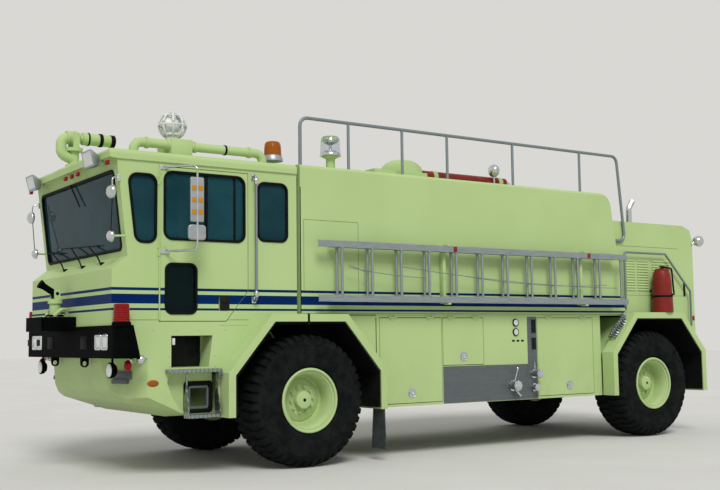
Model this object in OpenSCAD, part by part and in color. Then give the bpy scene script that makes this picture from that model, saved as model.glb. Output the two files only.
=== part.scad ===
// Airport fire truck with two axles, a cab over the front bumper and the engine at the rear.
// The front faces -X and the driver's side is -Y. Lengths called x are measured from the front axle.

/* [Overall] */
// Reach of the bumper platform ahead of the front axle
front_reach = 2680; // [2600:10:2800]
// Reach of the tailboard behind the front axle
rear_reach = 7220; // [7150:10:7400]
// Distance between the axles
wheelbase = 5780; // [5700:10:5860]
// Width of the cab and the body
body_width = 2640; // [2560:10:2660]
// Width over the wheel arch flares
flare_width = 3050; // [2980:10:3100]
// Height of the top of the cab roof
cab_height = 3450; // [3400:10:3500]
// Height of the top of the tank body
tank_height = 3465; // [3420:5:3500]

/* [Wheels] */
// Outer radius of a tyre
tyre_radius = 750; // [735:5:760]
// Width of a tyre
tyre_width = 570; // [520:10:600]
// Radius of the wheel rim at its flange
rim_radius = 356; // [340:2:370]
// Distance from the centre plane to a tyre's outer face
tyre_face = 1500; // [1480:5:1510]
// Wall thickness of the rim
rim_wall = 14; // [10:1:20]
// Distance from the centre plane to a kingpin
kingpin_y = 1080; // [1060:5:1100]
// Radius of a kingpin
kingpin_radius = 28; // [22:1:32]
// Radius of the spindle that carries a wheel
spindle_radius = 60; // [50:1:70]

/* [Cab] */
// Thickness of the cab's walls and doors
cab_wall = 50; // [40:2:60]
// Height of the door sill
sill_z = 1641; // [1620:1:1660]
// Height of the cab floor's top
floor_z = 1641; // [1630:1:1650]
// Height of the underside of the roof
header_z = 3340; // [3330:5:3350]
// Gap round each door
door_gap = 8; // [6:1:12]
// Thickness of the glass
glass = 10; // [6:1:14]

/* [Body] */
// Height of the underside of the lower compartments
skirt_z = 610; // [590:5:640]
// Height of the ledge between the tank body and the compartments
ledge_z = 1722; // [1710:2:1730]
// Setback of the compartment doors from the tank body's side
compartment_setback = 20; // [14:2:30]
// Thickness of a compartment door
hatch_thick = 40; // [30:2:50]
// Gap round each compartment door
hatch_gap = 8; // [6:1:12]
// Wall thickness of the engine cover
hood_wall = 40; // [30:2:50]
// Width of a flare's rim
flare_band = 85; // [70:5:100]

/* [Ladder and rails] */
// Height of a ladder rail
ladder_rail = 75; // [60:5:90]
// Diameter of a ladder rung
rung_diameter = 34; // [28:2:40]
// Diameter of the roof handrail
handrail_diameter = 42; // [34:2:48]
// Diameter of a grab rail
grab_diameter = 32; // [26:2:38]

/* [Hidden] */

$fn = 48;
axle_x = front_reach - (front_reach + rear_reach) / 2;
body_y = body_width / 2;
flare_y = flare_width / 2;
compartment_y = body_y - compartment_setback;
tyre_mid = tyre_face - tyre_width / 2;
running_clearance = 0.1;
frame_y = 430;
frame_rail = 85;
frame_bottom = 900;
frame_top = 1150;

// Wheel hub, measured outwards from the wheel's centre plane
disc_place = 12;
rim_disc = 16;
hub_inner = -48;
hub_outer = 102;
hub_bore_end = 80;
spindle_end = tyre_mid + hub_bore_end - 5;
knuckle_end = tyre_mid + hub_inner - 7;

// Cab profile points along the truck and up
nose_x = -2290;
crease_z = 2190;
screen_foot = [-2119, 2325];
screen_head = [-2242, 3340];
cab_back = -75;
tank_front = -25;
cab_inner_y = body_y - cab_wall;
door_front = -1770;
door_back = -702;
door_top = 3300;
door_corner = [-975, 1980];
arch_floor_z = ledge_z;
arch_floor_x = -600;
cab_base_z = 1600;

// Tank body and engine cover profile points
tank_round = 229;
tank_rear_slope = [[5179, tank_height - 233], [5416, ledge_z]];
hood_y = body_y - 85;
hood_back = rear_reach - 170;
hood_top = 3092;
hood_foot = 1762;
hood_bottom = 1480;
keel_y = 740;
keel_x = [1040, 4895];

// Compartments along the body: front edge, rear edge, sill height
hatches = [
    [1085, 2048, 640],
    [2058, 2735, 1085],
    [3680, 4745, 640],
];
bay_depth = 520;

// Middles of the wheel arches
front_arch_x = -10;
rear_arch_x = wheelbase + 120;

// Turns station coordinates into the part's frame
module station() {
    translate([axle_x, 0, 0]) children();
}

// A box given by its lowest and highest corners
module box(low, high) {
    translate(low) cube(high - low);
}

// The same piece on both sides of the truck
module both_sides() {
    children();
    mirror([0, 1, 0]) children();
}

// A plate on the driver's side with its outline in x and z, between two distances from the middle
module side_plate(inner, outer) {
    translate([0, -inner, 0]) rotate([90, 0, 0]) linear_extrude(outer - inner) children();
}

// A bar across the truck with its outline in x and z
module cross_profile(half) {
    translate([0, half, 0]) rotate([90, 0, 0]) linear_extrude(2 * half) children();
}

// A bar along the truck with its outline in y and z
module long_profile(from, to) {
    translate([from, 0, 0]) rotate([90, 0, 90]) linear_extrude(to - from) children();
}

// A rectangle with round corners, by its lowest and highest corners
module round_rect(low, high, r) {
    translate([low[0] + r, low[1]]) square([high[0] - low[0] - 2 * r, high[1] - low[1]]);
    translate([low[0], low[1] + r]) square([high[0] - low[0], high[1] - low[1] - 2 * r]);
    for (x = [low[0] + r, high[0] - r], z = [low[1] + r, high[1] - r]) translate([x, z]) circle(r);
}

// A straight tube between two points
module rod(a, b, d) {
    v = b - a;
    len = norm(v);
    translate(a) rotate([0, acos(v[2] / len), atan2(v[1], v[0])]) cylinder(h = len, d = d, $fn = 20);
}

// A path whose inner corners are turned into arcs of a radius
function bent(p, r, n = 4) = concat([p[0]], [
    for (i = [1 : len(p) - 2])
        let (
            u = (p[i - 1] - p[i]) / norm(p[i - 1] - p[i]),
            v = (p[i + 1] - p[i]) / norm(p[i + 1] - p[i]),
            half = acos(u * v) / 2,
            o = p[i] + (u + v) / norm(u + v) * r / sin(half),
            s = p[i] + u * r / tan(half) - o,
            e = p[i] + v * r / tan(half) - o,
            turn = 180 - 2 * half
        )
        for (k = [0 : n]) o + (s * sin(turn * (1 - k / n)) + e * sin(turn * k / n)) / sin(turn)
], [p[len(p) - 1]]);

// A tube of a diameter swept along a path, with its rings square to a side direction
module tube(p, d, side = [0, 1, 0], n = 12) {
    last = len(p) - 1;
    rings = [
        for (i = [0 : last])
            let (
                a = i > 0 ? (p[i] - p[i - 1]) / norm(p[i] - p[i - 1]) : (p[1] - p[0]) / norm(p[1] - p[0]),
                b = i < last ? (p[i + 1] - p[i]) / norm(p[i + 1] - p[i]) : a,
                t = (a + b) / norm(a + b),
                q = side - (side * t) * t,
                across = q / norm(q),
                over = cross(t, across) / (a * t)
            )
            for (k = [0 : n - 1]) p[i] + d / 2 * (cos(360 * k / n) * across + sin(360 * k / n) * over)
    ];
    polyhedron(rings, concat(
        [[for (k = [0 : n - 1]) k]],
        [for (i = [0 : last - 1], k = [0 : n - 1])
            [i * n + k, (i + 1) * n + k, (i + 1) * n + (k + 1) % n, i * n + (k + 1) % n]],
        [[for (k = [n - 1 : -1 : 0]) last * n + k]]
    ));
}

rail_front = -1900;
tail_wall = 40;
crossmembers = [-1860, -1000, 1200, 2600, 4300, hood_back - 90];
cab_mounts = [-1850, -1150];
crossmember_drop = 30;

hinge_radius = 9;
hinge_pin = 5;
hinge_length = 110;
hinge_ear = 28;
hinge_leaf = 26;

// The fixed half of a hinge along Z: its pin and two ears, with the panel's face at +Y
module hinge_fixed() {
    translate([0, 0, -hinge_length / 2]) cylinder(h = hinge_length, r = hinge_pin, $fn = 24);
    for (z = [-hinge_length / 2, hinge_length / 2 - hinge_ear]) translate([0, 0, z]) {
        cylinder(h = hinge_ear, r = hinge_radius, $fn = 24);
        translate([-hinge_leaf, 0, 0]) cube([hinge_leaf, hinge_radius, hinge_ear]);
    }
}

// The moving half of a hinge: its knuckle between the ears, with the leaf towards +X
module hinge_moving() {
    length = hinge_length - 2 * hinge_ear - 2;
    translate([0, 0, -length / 2]) difference() {
        union() {
            cylinder(h = length, r = hinge_radius, $fn = 24);
            cube([hinge_leaf, hinge_radius, length]);
        }
        translate([0, 0, -1]) cylinder(h = length + 2, r = hinge_pin + running_clearance, $fn = 24);
    }
}

module frame() {
    color("dimgray") station() {
        both_sides() {
            box([rail_front, -frame_y, frame_bottom], [hood_back - tail_wall, frame_rail - frame_y, frame_top]);
            for (x = cab_mounts)
                box([x - 40, -frame_y, frame_top], [x + 40, frame_rail - frame_y, cab_base_z]);
        }
        for (x = crossmembers)
            box([x - 40, frame_rail - frame_y, frame_bottom + crossmember_drop],
                [x + 40, frame_y - frame_rail, frame_top - crossmember_drop]);
    }
}

spring_width = 80;
spring_leaf = 16;
spring_leaves = 4;
spring_half = 640;
shackle = 24;
spring_seat_z = frame_bottom - shackle - spring_leaf * spring_leaves;

// One leaf spring with its shackle blocks under a frame rail
module leaf_spring(x) {
    for (i = [0 : spring_leaves - 1]) {
        half = spring_half - 120 * i;
        z = frame_bottom - shackle - spring_leaf * (i + 1);
        box([x - half, -spring_width / 2, z], [x + half, spring_width / 2, z + spring_leaf]);
    }
    for (s = [-1, 1])
        translate([x + s * (spring_half - 40), 0, 0])
            box([-40, -spring_width / 2, frame_bottom - shackle], [40, spring_width / 2, frame_bottom]);
}

module springs() {
    color("black") station() both_sides()
        translate([0, -frame_y + frame_rail / 2, 0]) for (x = [0, wheelbase]) leaf_spring(x);
}

axle_radius = 62;
banjo_radius = 185;
pinion_reach = 260;

// The beam, banjo and spring seats that both axles share, with the pinion to the front or the rear
module axle_beam(x, half, pinion) {
    translate([x, half, tyre_radius]) rotate([90, 0, 0]) cylinder(h = 2 * half, r = axle_radius);
    translate([x, 0, tyre_radius]) sphere(r = banjo_radius);
    translate([x, 0, tyre_radius]) rotate([0, 90 * pinion, 0]) cylinder(h = pinion_reach, r = 70);
    for (s = [-1, 1])
        translate([x, s * (frame_y - frame_rail / 2), 0])
            box([-70, -50, tyre_radius + 20], [70, 50, spring_seat_z]);
}

yoke_gap = 6;
yoke_height = 150;
yoke_plate = 34;
yoke_reach = 55;

// The fork at each end of the front axle that holds a kingpin
module front_axle() {
    fork_inner = kingpin_y - 110;
    color("dimgray") station() difference() {
        union() {
            axle_beam(0, fork_inner, 1);
            both_sides() {
                for (z = [yoke_height, -yoke_height - yoke_plate])
                    box([-60, -kingpin_y - yoke_reach, tyre_radius + z],
                        [60, -fork_inner, tyre_radius + z + yoke_plate]);
                box([-60, -fork_inner - 24, tyre_radius - yoke_height - yoke_plate],
                    [60, -fork_inner + 26, tyre_radius + yoke_height + yoke_plate]);
            }
        }
        both_sides() translate([0, -kingpin_y, 0]) cylinder(h = 1200, r = kingpin_radius + running_clearance);
    }
}

module rear_axle() {
    color("dimgray") station() {
        axle_beam(wheelbase, knuckle_end, -1);
        translate([wheelbase, spindle_end, tyre_radius]) rotate([90, 0, 0])
            cylinder(h = 2 * spindle_end, r = spindle_radius);
    }
}

// The transfer case under a crossmember and the two propeller shafts
module driveline() {
    shaft_radius = 45;
    case_low = [2350, -190, 600];
    case_high = [2950, 190, frame_bottom + crossmember_drop];
    color("dimgray") station() {
        box(case_low, case_high);
        for (span = [[pinion_reach, case_low[0]], [case_high[0], wheelbase - pinion_reach]])
            translate([span[0], 0, tyre_radius]) rotate([0, 90, 0])
                cylinder(h = span[1] - span[0], r = shaft_radius);
    }
}

// The steering knuckle on the driver's side: kingpin, upright and spindle
module knuckle() {
    upright = 2 * (yoke_height - yoke_gap);
    translate([0, -kingpin_y, tyre_radius]) {
        translate([0, 0, -yoke_height - yoke_plate]) cylinder(h = 2 * (yoke_height + yoke_plate), r = kingpin_radius);
        translate([0, 0, -upright / 2]) cylinder(h = upright, r = 56);
    }
    translate([0, -kingpin_y, tyre_radius]) rotate([90, 0, 0]) {
        cylinder(h = knuckle_end - kingpin_y, r = 90);
        cylinder(h = spindle_end - kingpin_y, r = spindle_radius);
    }
}

module knuckle_left() {
    color("dimgray") station() knuckle();
}

module knuckle_right() {
    color("dimgray") station() mirror([0, 1, 0]) knuckle();
}

rim_lip = 16;

// Tyre section, with distances from the axle and across the tyre
module tyre_section() {
    w = tyre_width / 2;
    bead = rim_radius - rim_lip;
    polygon([
        [bead, -w + 60], [rim_radius, -w + 60],
        [rim_radius + 50, -w + 6], [rim_radius + 170, -w], [tyre_radius - 90, -w + 12],
        [tyre_radius - 36, -w + 36], [tyre_radius, -w + 110],
        [tyre_radius, w - 110], [tyre_radius - 36, w - 36],
        [tyre_radius - 90, w - 12], [rim_radius + 170, w], [rim_radius + 50, w - 6],
        [rim_radius, w - 60], [bead, w - 60],
        [tyre_radius - 70, w - 90], [tyre_radius - 70, -w + 90],
    ]);
}

lugs = 26;
groove = 78;
groove_depth = 24;

// The grooves between the lugs of one half of the tread, from its middle round the shoulder
module grooves() {
    w = tyre_width / 2;
    floor = tyre_radius - groove_depth;
    for (i = [0 : lugs - 1]) rotate([0, 0, 360 * i / lugs])
        translate([0, groove / 2, 0]) rotate([90, 0, 0]) linear_extrude(groove) polygon([
            [floor, -16], [tyre_radius + 20, -16], [tyre_radius + 20, w + 20], [floor - 62, w + 20],
            [floor - 62, w - 30], [floor, w - 130],
        ]);
}

// A tyre whose axle is the Y axis, centred on the origin
module tyre() {
    rotate([90, 0, 0]) difference() {
        rotate_extrude($fn = 32) tyre_section();
        grooves();
        rotate([0, 0, 180 / lugs]) mirror([0, 0, 1]) grooves();
    }
}

// A rim with its deep dish facing -Y, its centre plane on the origin
module rim() {
    w = tyre_width / 2;
    barrel = rim_radius - rim_lip;
    hub_radius = 155;
    rotate([90, 0, 0]) difference() {
        union() {
            rotate_extrude($fn = 72) polygon([
                [rim_radius, -w + 46], [rim_radius, -w + 60], [barrel, -w + 60], [barrel, w - 60],
                [rim_radius, w - 60], [rim_radius, w - 46], [barrel - rim_wall, w - 46],
                [barrel - rim_wall, -w + 46],
            ]);
            translate([0, 0, disc_place]) cylinder(h = rim_disc, r = barrel - rim_wall / 2, $fn = 72);
            translate([0, 0, hub_inner]) cylinder(h = hub_outer - hub_inner, r = hub_radius);
        }
        translate([0, 0, hub_inner - 1])
            cylinder(h = hub_bore_end - hub_inner + 1, r = spindle_radius + running_clearance);
    }
}

module wheel_place(x, side) {
    station() translate([x, side * tyre_mid, tyre_radius]) rotate([0, 0, side > 0 ? 180 : 0]) children();
}

module front_left_tyre() { color("black") wheel_place(0, -1) tyre(); }
module front_left_rim() { color("yellowgreen") wheel_place(0, -1) rim(); }
module front_right_tyre() { color("black") wheel_place(0, 1) tyre(); }
module front_right_rim() { color("yellowgreen") wheel_place(0, 1) rim(); }
module rear_left_tyre() { color("black") wheel_place(wheelbase, -1) tyre(); }
module rear_left_rim() { color("yellowgreen") wheel_place(wheelbase, -1) rim(); }
module rear_right_tyre() { color("black") wheel_place(wheelbase, 1) tyre(); }
module rear_right_rim() { color("yellowgreen") wheel_place(wheelbase, 1) rim(); }

// Points of an outline with each corner rounded to a radius
function fillet(p, r, n = 4) = [
    for (i = [0 : len(p) - 1])
        let (
            b = p[i],
            u = (p[(i + len(p) - 1) % len(p)] - b) / norm(p[(i + len(p) - 1) % len(p)] - b),
            v = (p[(i + 1) % len(p)] - b) / norm(p[(i + 1) % len(p)] - b),
            half = acos(u * v) / 2,
            o = b + (u + v) / norm(u + v) * r / sin(half),
            s = b + u * r / tan(half) - o,
            e = b + v * r / tan(half) - o,
            from = atan2(s[1], s[0]),
            turn = (atan2(e[1], e[0]) - from + 540) % 360 - 180
        )
        for (k = [0 : n]) o + r * [cos(from + turn * k / n), sin(from + turn * k / n)]
];

// Outline of the cab's side
function cab_side() = [
    [nose_x, cab_base_z], [nose_x, crease_z], screen_foot, screen_head, [cab_back, header_z],
    [cab_back, arch_floor_z], [arch_floor_x, arch_floor_z], [arch_floor_x - 120, cab_base_z],
];

// Outline of a cab door, smaller than its opening by a gap
function door_outline(gap) = [
    [door_front + gap, sill_z + gap], [door_corner[0] - gap / 2, sill_z + gap],
    [door_back - gap, door_corner[1] + gap / 3], [door_back - gap, door_top - gap],
    [door_front + gap, door_top - gap],
];

// Outlines of the side windows, front to back
function front_quarter() = fillet(
    [[-2118, 3195], [-2030, 2478], [-1808, 2478], [-1805, 3195]], 88);
function door_window() = fillet([[-1708, 2522], [-752, 2522], [-752, 3245], [-1708, 3245]], 90);
function low_window() = fillet([[-1690, 1730], [-1338, 1730], [-1338, 2256], [-1690, 2256]], 70);
function rear_window() = fillet([[-577, 2548], [-203, 2548], [-203, 3205], [-577, 3205]], 80);

screen_low = [-1189, 2402];
screen_high = [1189, 3229];

module cab_body() {
    inner = cab_inner_y;
    color("yellowgreen") station() {
        both_sides() side_plate(inner, body_y) difference() {
            polygon(cab_side());
            polygon(door_outline(0));
            polygon(front_quarter());
            polygon(rear_window());
        }
        both_sides() door_hinges() hinge_fixed();
        box([nose_x + cab_wall, -inner, cab_base_z], [arch_floor_x - 80, inner, floor_z]);
        box([arch_floor_x - 120, -inner, floor_z], [arch_floor_x - 80, inner, arch_floor_z + floor_thick]);
        box([arch_floor_x - 80, -inner, arch_floor_z], [cab_back, inner, arch_floor_z + floor_thick]);
        box([cab_back - cab_wall, -inner, arch_floor_z + floor_thick], [cab_back, inner, header_z]);
    }
}

// The nose panel and the windshield's frame, bent from one outline
module cab_front() {
    back = [cab_wall, 0];
    color("yellowgreen") station() difference() {
        cross_profile(cab_inner_y) polygon([
            [nose_x, cab_base_z], [nose_x, crease_z], screen_foot, screen_head, screen_head + back,
            screen_foot + back - [0, 20], [nose_x + cab_wall, crease_z - 24], [nose_x + cab_wall, cab_base_z],
        ]);
        long_profile(-2500, -1900) round_rect(screen_low, screen_high, 60);
    }
}

glass_set_in = 16;

// The windshield and the fixed side windows
module cab_glass() {
    set_in = [glass_set_in, 0];
    color("darkslategray") station() {
        intersection() {
            long_profile(-2500, -1900) round_rect(screen_low, screen_high, 60);
            cross_profile(cab_inner_y) polygon([
                screen_foot + set_in, screen_head + set_in, screen_head + set_in + [glass, 0],
                screen_foot + set_in + [glass, 0],
            ]);
        }
        both_sides() side_plate(body_y - glass_set_in - glass, body_y - glass_set_in) {
            polygon(front_quarter());
            polygon(rear_window());
        }
    }
}

roof_overhang = 18;
brow_x = nose_x - 40;

module cab_roof() {
    edge = body_y + roof_overhang;
    color("yellowgreen") station() intersection() {
        cross_profile(edge) polygon([
            [brow_x, header_z + 10], [brow_x, cab_height - 30], [brow_x + 30, cab_height],
            [cab_back, cab_height], [cab_back, header_z], [screen_head[0], header_z],
        ]);
        long_profile(-2500, 0) round_rect([-edge, header_z - 200], [edge, cab_height], 60);
    }
}

// One level of the skirt's hull: height, front edge, rear edge and half width
module skirt_level(z, front, back, half) {
    translate([front, -half, z]) cube([back - front, 2 * half, 0.5]);
}

skirt_back = -1060;
// Height, front edge and half width of the skirt, from the top down
skirt_levels = [
    [1599.5, 28, 0], [1265, 100, 0], [975, 142, 0], [912, 395, 0], [905, 170, 720], [790, 300, 330],
    [skirt_z + 10, 780, 420],
];
// Where the skirt's bevelled corner meets its front and its side, and the height of the bevel's top
corner_front = [-2190, -780];
corner_side = [-1890, -1320];
corner_top = 1262;

// The skirt's outside, or its inside where inset is above 0
module skirt_hull(inset) {
    hull() {
        for (l = skirt_levels)
            skirt_level(l[0] + (l[0] < 900 ? inset : 0), nose_x + l[1] + inset, skirt_back,
                body_y - l[2] - inset);
        skirt_level(677 + inset, -1506 + inset, skirt_back, body_y - inset);
    }
}

// What lies outside the bevelled corners of the skirt, or of its inside where inset is above 0
module skirt_corners(inset) {
    along = (corner_side - corner_front) / norm(corner_side - corner_front);
    out = [along[1], -along[0]];
    from = corner_front - 500 * along - inset * out;
    to = corner_side + 500 * along - inset * out;
    both_sides() translate([0, 0, 500]) linear_extrude(corner_top - 500 + inset)
        polygon([from, to, to + 900 * out, from + 900 * out]);
}

step_depth = 240;
skirt_wall = 32;
// Outlines of the step's recess above the tread and of the bay below it
step_recess = [[-1626, 1155], [-1190, 1155], [-1143, 1492], [-1626, 1492]];
step_bay = [[-1638, 1100], [-1672, 1000], [-1604, 825], [-1530, 726], [-1480, 560], [-1075, 560], [-1075, 1100]];
bay_depth_low = 70;
// The opening in the bay's back: lowest and highest corners
bay_hole = [[-1432, 684], [-1136, 982]];
// The panel between the skirt and the front wheel arch
arch_panel = [
    [skirt_back - 20, 640], [-1007, 640], [-1007, 1072], [-493, 1677], [-493, arch_floor_z - 1],
    [arch_floor_x - 1, arch_floor_z - 1], [arch_floor_x - 121, cab_base_z - 2], [skirt_back - 20, cab_base_z - 2],
];

module cab_skirt() {
    color("yellowgreen") station() difference() {
        union() {
            difference() {
                skirt_hull(0);
                skirt_corners(0);
            }
            both_sides() side_plate(body_y - skirt_wall, body_y - 1) polygon(arch_panel);
        }
        difference() {
            skirt_hull(skirt_wall);
            skirt_corners(skirt_wall);
            both_sides() {
                box([-1646, -body_y, 1135], [-1120, -body_y + step_depth + 20, 1512]);
                box([-1700, -body_y, 500], [-1040, -body_y + bay_depth_low + 20, 1120]);
            }
        }
        both_sides() {
            side_plate(body_y - step_depth, body_y + 1) polygon(step_recess);
            side_plate(body_y - bay_depth_low, body_y + 1) polygon(step_bay);
            box([bay_hole[0][0], -body_y, bay_hole[0][1]], [bay_hole[1][0], -body_y + step_depth, bay_hole[1][1]]);
        }
        box([skirt_back - 60, -body_y + 60, skirt_z], [skirt_back + 1, body_y - 60, 1700]);
        box([rail_front - 40, -frame_y - 40, 820], [skirt_back + 1, frame_y + 40, 1700]);
    }
}

tread_z = 1134;
low_tread = [-1462, -1084];

// A thin plate across the truck on the driver's side, with its outline in distance from the middle and z
module side_place(x, thick) {
    translate([x, 0, 0]) mirror([0, 1, 0]) rotate([90, 0, 90]) linear_extrude(thick) children();
}

module cab_steps() {
    tread = 34;
    reach = 80;
    hanger = 12;
    color("silver") station() both_sides() {
        box([-1695, -body_y - reach, tread_z - tread], [-1062, -body_y, tread_z]);
        box([low_tread[0], -body_y - reach, 618], [low_tread[1], -body_y + 40, 618 + tread]);
        for (x = [low_tread[0], low_tread[1] - hanger]) side_place(x, hanger) polygon([
            [body_y - 40, 618], [body_y + reach, 618], [body_y + reach, 690], [body_y + 22, 930],
            [body_y + 22, 1101], [body_y, 1101], [body_y, 930], [body_y - 40, 860],
        ]);
    }
}

door_hinge_z = [2390, 3150];

// Places the cab door's hinges along its front edge
module door_hinges() {
    for (z = door_hinge_z)
        translate([door_front + door_gap / 2, -body_y - hinge_radius, z]) children();
}

module door() {
    door_hinges() hinge_moving();
    side_plate(cab_inner_y, body_y) difference() {
        polygon(door_outline(door_gap));
        polygon(door_window());
        polygon(low_window());
        polygon(fillet([[-1068, 1757], [-948, 1757], [-948, 1930], [-1068, 1930]], 16));
    }
    side_plate(cab_inner_y, cab_inner_y + 8)
        polygon([[-1090, 1735], [-930, 1735], [-930, 1950], [-1090, 1950]]);
}

module door_left() { color("yellowgreen") station() door(); }
module door_right() { color("yellowgreen") station() mirror([0, 1, 0]) door(); }

module door_glass() {
    side_plate(body_y - glass_set_in - glass, body_y - glass_set_in) {
        polygon(door_window());
        polygon(low_window());
    }
}

module door_glass_left() { color("darkslategray") station() door_glass(); }
module door_glass_right() { color("darkslategray") station() mirror([0, 1, 0]) door_glass(); }

mirror_y = body_y + 300;
mirror_x = -1480;

// The mirror's mast, its two arms from the door and its two heads
module mirror_set() {
    tube(bent([
        [-1735, -body_y, 3270], [-1735, -body_y - 80, 3270], [-1700, -mirror_y + 60, 3270],
        [mirror_x, -mirror_y, 3225], [mirror_x, -mirror_y, 2400], [mirror_x - 60, -mirror_y + 20, 2330],
        [-1735, -body_y - 80, 2290], [-1735, -body_y, 2290],
    ], 30), 26, [1, 0.6, 0]);
    for (head = [[-75, 95, 2680, 3155], [-100, 105, 2490, 2650]])
        box([mirror_x + head[0], -mirror_y - 45, head[2]], [mirror_x + head[1], -mirror_y - 5, head[3]]);
}

module mirror_left() { color("silver") station() mirror_set(); }
module mirror_right() { color("silver") station() mirror([0, 1, 0]) mirror_set(); }

floor_thick = floor_z - cab_base_z;
// Seat places: x and y of the middle, and the height of the floor below
seat_places = [for (y = [-620, 620], row = [[-1330, floor_z], [-520, arch_floor_z + floor_thick]])
    [row[0], y, row[1]]];

module seats() {
    width = 520;
    color("dimgray") station() for (s = seat_places) translate([s[0], s[1], s[2]]) {
        box([-150, -160, 0], [180, 160, 330]);
        box([-260, -width / 2, 330], [250, width / 2, 450]);
        translate([165, 0, 420]) rotate([0, 8, 0]) box([0, -width / 2 + 10, 0], [90, width / 2 - 10, 650]);
    }
}

module dash() {
    wheel_centre = [-1800, -620, 2370];
    color("black") station() {
        cross_profile(cab_inner_y - 30) polygon([
            [nose_x + cab_wall, floor_z], [nose_x + cab_wall, 2140], [-2105, 2250], [-1980, 2235],
            [-1960, 2110], [-2090, floor_z],
        ]);
        rod([-2010, wheel_centre[1], 2160], wheel_centre, 50);
        translate(wheel_centre) rotate([0, 48, 0]) {
            rotate_extrude($fn = 36) translate([215, 0]) circle(14, $fn = 16);
            box([-213, -14, -8], [213, 14, 8]);
        }
    }
}

bumper_front = -2305;
bumper_low = 1265;
bumper_high = 1605;
bumper_side_y = body_y + 180;
bumper_end = -2050;
bumper_back = -2264;
bumper_slope = 72;
platform_front = -front_reach;
platform_half = 270;
lamp_y = 1070;
lamp_half = 190;
lamp_low = 1354;
lamp_high = 1514;
lamp_depth = 30;
platform_top = 1715;
pedestal = 30;
bumper_turret_x = -2440;
bumper_turret_z = 1980;
beacon_radius = 88;
beacon_base = 35;
beacon_y = body_y + beacon_radius + 4;
beacon_x = -2217;
tow_eye = [-2270, 1205];
tow_eye_y = 490;
tow_eye_plate = 40;
tow_eye_radius = 28;

// Plan outline of the bumper beam
function bumper_plan() = concat(
    [for (k = [0 : 6]) [bumper_front + 120 - 120 * cos(15 * k), bumper_side_y - 120 + 120 * sin(15 * k)]],
    [[bumper_end, bumper_side_y], [bumper_end, body_y], [nose_x, body_y]],
    [[nose_x, -body_y], [bumper_end, -body_y], [bumper_end, -bumper_side_y]],
    [for (k = [6 : -1 : 0]) [bumper_front + 120 - 120 * cos(15 * k), -bumper_side_y + 120 - 120 * sin(15 * k)]]
);

module bumper() {
    color("black") station() {
        difference() {
            union() {
                translate([0, 0, bumper_low]) linear_extrude(bumper_high - bumper_low) polygon(bumper_plan());
                box([nose_x - 2, 20 - body_y, bumper_low], [bumper_back, body_y - 20, cab_base_z - 2]);
            }
            both_sides() {
                box([bumper_front - 1, -lamp_y - lamp_half, lamp_low],
                    [bumper_front + lamp_depth, -lamp_y + lamp_half, lamp_high]);
                side_plate(body_y - 1, bumper_side_y + 1) polygon([
                    [bumper_end - bumper_slope, bumper_high + 1], [bumper_end + 1, bumper_low + 30],
                    [bumper_end + 10, bumper_high + 1],
                ]);
            }
        }
        both_sides() translate([beacon_x, -beacon_y, bumper_high - 10])
            cylinder(h = beacon_base + 10, r = beacon_radius - 6);
        box([platform_front, -platform_half, 1560], [nose_x, platform_half, platform_top]);
        translate([bumper_turret_x, 0, platform_top]) cylinder(h = pedestal, r = 95);
        both_sides() difference() {
            union() {
                box([tow_eye[0] - 42, -tow_eye_y - tow_eye_plate / 2, tow_eye[1]],
                    [tow_eye[0] + 42, -tow_eye_y + tow_eye_plate / 2, bumper_low + 1]);
                translate([tow_eye[0], -tow_eye_y, tow_eye[1]]) rotate([90, 0, 0])
                    cylinder(h = tow_eye_plate, r = 42, center = true);
            }
            translate([tow_eye[0], -tow_eye_y, tow_eye[1]]) rotate([90, 0, 0])
                cylinder(h = 2 * tow_eye_plate, r = tow_eye_radius, center = true);
        }
    }
}

module front_lamps() {
    color("white") station() {
        both_sides() {
            for (s = [-1, 1]) translate([0, -lamp_y + s * lamp_half / 2, 0])
                box([bumper_front + 14, -lamp_half / 2 + 6, lamp_low],
                    [bumper_front + lamp_depth, lamp_half / 2 - 6, lamp_high]);
            translate([beacon_x, -beacon_y, bumper_high + beacon_base]) {
                cylinder(h = 45, r = beacon_radius);
                translate([0, 0, 45]) cylinder(h = 145, r1 = beacon_radius, r2 = beacon_radius - 8);
            }
        }
    }
}

seat_clearance = 0.3;
trunnion_radius = 20;
cheek = 20;
cheek_gap = 4;

// Two cheeks with trunnion bores on either side of a ball, round its middle
module cheeks(ball, down, up, half) {
    inner = ball + cheek_gap;
    difference() {
        both_sides() box([-half, -inner - cheek, -down], [half, -inner, up]);
        rotate([90, 0, 0])
            cylinder(h = 2 * (inner + cheek + 1), r = trunnion_radius + running_clearance, center = true);
    }
}

// A barrel along Z turned from one outline, from its tail through its ball to its flared tip.
// The tail, the bore tube and the tip are each given by radius and length.
module barrel(ball, tail, tube, tip) {
    from = -acos(tail[0] / ball);
    to = acos(tube[0] / ball);
    steps = 10;
    rotate_extrude() polygon(concat(
        tail[0] > 0 ? [[0, -tail[1]], [tail[0], -tail[1]]] : [],
        [for (k = [0 : steps]) let (a = from + (to - from) * k / steps) ball * [cos(a), sin(a)]],
        [[tube[0], tube[1]], [tip[0], tube[1] + tip[1]], [0, tube[1] + tip[1]]]
    ));
}

// The trunnion pin that turns in the cheeks
module trunnion(ball) {
    rotate([90, 0, 0]) cylinder(h = 2 * (ball + cheek_gap + cheek), r = trunnion_radius, center = true);
}

bumper_ball = 54;

module bumper_turret_swivel() {
    base = platform_top + pedestal + seat_clearance;
    neck = bumper_turret_z - bumper_ball - 6;
    color("yellowgreen") station() translate([bumper_turret_x, 0, 0]) {
        translate([0, 0, base]) cylinder(h = neck - base, r = 62);
        translate([0, 0, neck - 50]) cylinder(h = 50, r = 80);
        translate([0, 0, bumper_turret_z]) cheeks(bumper_ball, bumper_ball + 16, 50, 32);
    }
}

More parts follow.
